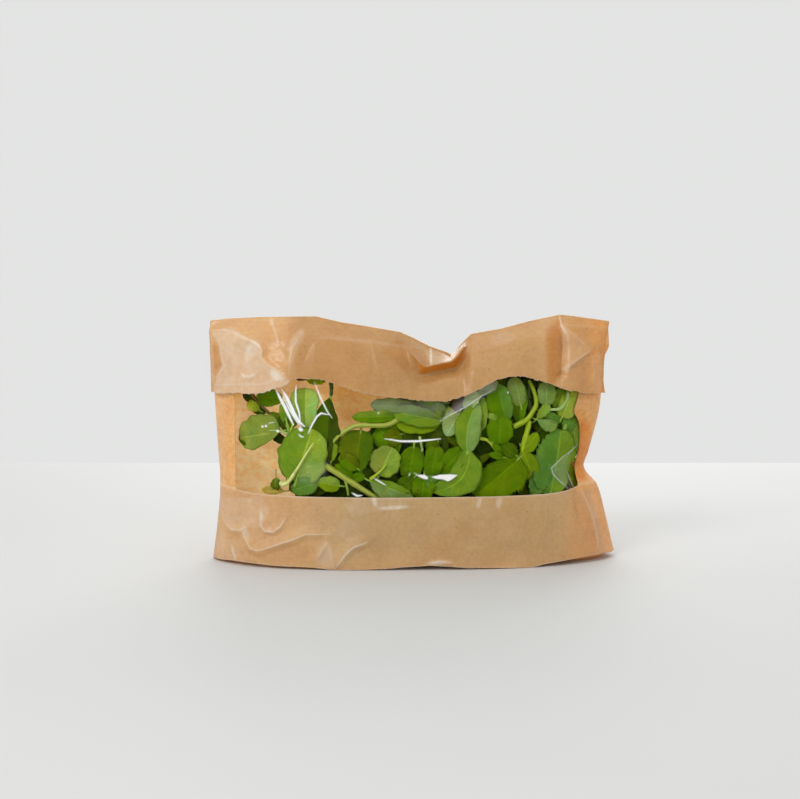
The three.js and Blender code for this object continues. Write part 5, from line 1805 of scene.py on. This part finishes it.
class MINTPACK_OT_stage(bpy.types.Operator):
    """Pale table and surroundings, soft lights, and the photograph's camera"""

    bl_idname = "mint_pack.stage"
    bl_label = "Stage"

    def execute(self, context):
        settings = context.scene.mint_pack_stage
        context.scene.view_settings.view_transform = "Standard"
        x, y = np.meshgrid(np.linspace(*TABLE_X, 25), np.linspace(*TABLE_Y, 25))
        points = np.stack([x, y, np.zeros(x.shape)], -1)
        floor = add_piece("table", points, grid_quads(*x.shape), floor_material(settings.floor))
        world = bpy.data.worlds.new("Surroundings")
        world.use_nodes = True
        background = world.node_tree.nodes["Background"]
        background.inputs["Color"].default_value = (*settings.wall, 1)
        context.scene.world = world
        for name, place, size, power in SOFT_LIGHTS:
            add_area_light(name, place, size, settings.key if power is None else power)
        camera_data = bpy.data.cameras.new("Camera")
        camera_data.lens, camera_data.sensor_width = settings.lens, SENSOR_MM
        camera_data.clip_start, camera_data.clip_end = 0.02, 20
        camera = bpy.data.objects.new("Camera", camera_data)
        target = Vector(LOOK_AT) * MM
        back = Vector((0, -math.cos(CAMERA_TILT), math.sin(CAMERA_TILT)))
        camera.location = target + back * CAMERA_DISTANCE * MM
        context.scene.collection.objects.link(camera)
        aim(camera, target)
        context.scene.camera = camera
        return {"FINISHED"}


class MINTPACK_OT_paper(bpy.types.Operator):
    """The bag's paper: its front round the window, its base and back, and its folded top"""

    bl_idname = "mint_pack.paper"
    bl_label = "Paper"

    def execute(self, context):
        sizes = context.scene.mint_pack_sizes
        for make in (make_front, make_back, make_flap):
            finish_piece(make(sizes), "kraft_bag")
        return {"FINISHED"}


class MINTPACK_OT_film(bpy.types.Operator):
    """The clear film across the window"""

    bl_idname = "mint_pack.film"
    bl_label = "Film"

    def execute(self, context):
        finish_piece(make_film(context.scene.mint_pack_sizes), "window_film")
        return {"FINISHED"}


class MINTPACK_OT_leaves(bpy.types.Operator):
    """The mint's leaves: those at the window, plain and toothed, and those behind them"""

    bl_idname = "mint_pack.leaves"
    bl_label = "Leaves"

    def execute(self, context):
        sizes = context.scene.mint_pack_sizes
        plain = leaf_material("mint_leaf_plain", 7, 0.42)
        toothed = leaf_material("mint_leaf_toothed", 9, 0.46)
        behind = strewn_leaves(71, int(sizes.strewn * NEARER_SHARE), 8.5, 12.5, NEARER_GREENS)
        behind += strewn_leaves(72, sizes.strewn - len(behind), 10, 16, DEEPER_GREENS)
        thick = sizes.leaf
        pieces = [
            join_leaves("mint_leaves_plain", shown_leaves(False), plain, (40, 15), thick, 41),
            join_leaves("mint_leaves_toothed", shown_leaves(True), toothed, (64, 17), thick, 42),
            join_leaves("mint_leaves_behind", behind, plain, (12, 7), 0.0, 43, BEHIND_GAP),
        ]
        for piece in pieces:
            finish_piece(piece, "mint_sprigs")
        return {"FINISHED"}


class MINTPACK_OT_stems(bpy.types.Operator):
    """The mint's stems and leaf stalks"""

    bl_idname = "mint_pack.stems"
    bl_label = "Stems"

    def execute(self, context):
        finish_piece(make_stems(), "mint_sprigs")
        return {"FINISHED"}


class MINTPACK_OT_heap(bpy.types.Operator):
    """The dark inside of the mint heap"""

    bl_idname = "mint_pack.heap"
    bl_label = "Heap"

    def execute(self, context):
        finish_piece(make_heap(), "mint_sprigs")
        return {"FINISHED"}


OPERATORS = (MINTPACK_OT_stage, MINTPACK_OT_paper, MINTPACK_OT_film, MINTPACK_OT_leaves,
             MINTPACK_OT_stems, MINTPACK_OT_heap)


class MINTPACK_PT_panel(bpy.types.Panel):
    """The pack's settings and its operators"""

    bl_idname = "MINTPACK_PT_panel"
    bl_label = "Mint pack"
    bl_space_type = "VIEW_3D"
    bl_region_type = "UI"
    bl_category = "Mint pack"

    def draw(self, context):
        for group in ("mint_pack_sizes", "mint_pack_colors", "mint_pack_stage"):
            settings = getattr(context.scene, group)
            box = self.layout.box()
            for name in settings.bl_rna.properties.keys():
                if name not in {"rna_type", "name"}:
                    box.prop(settings, name)
        for operator in OPERATORS:
            self.layout.operator(operator.bl_idname)


SETTINGS = {"mint_pack_sizes": MintPackSizes, "mint_pack_colors": MintPackColors,
            "mint_pack_stage": MintPackStage}


def register():
    """Registers the settings, the operators and the panel."""
    for kind in (*SETTINGS.values(), *OPERATORS, MINTPACK_PT_panel):
        bpy.utils.register_class(kind)
    for name, kind in SETTINGS.items():
        setattr(bpy.types.Scene, name, bpy.props.PointerProperty(type=kind))


def unregister():
    """Takes away what register added."""
    for name in SETTINGS:
        delattr(bpy.types.Scene, name)
    for kind in (MINTPACK_PT_panel, *reversed(OPERATORS), *reversed(SETTINGS.values())):
        bpy.utils.unregister_class(kind)


def main():
    """Builds everything in order."""
    register()
    bpy.ops.mint_pack.stage()
    bpy.ops.mint_pack.paper()
    bpy.ops.mint_pack.film()
    bpy.ops.mint_pack.leaves()
    bpy.ops.mint_pack.stems()
    bpy.ops.mint_pack.heap()


if __name__ == "__main__":
    main()
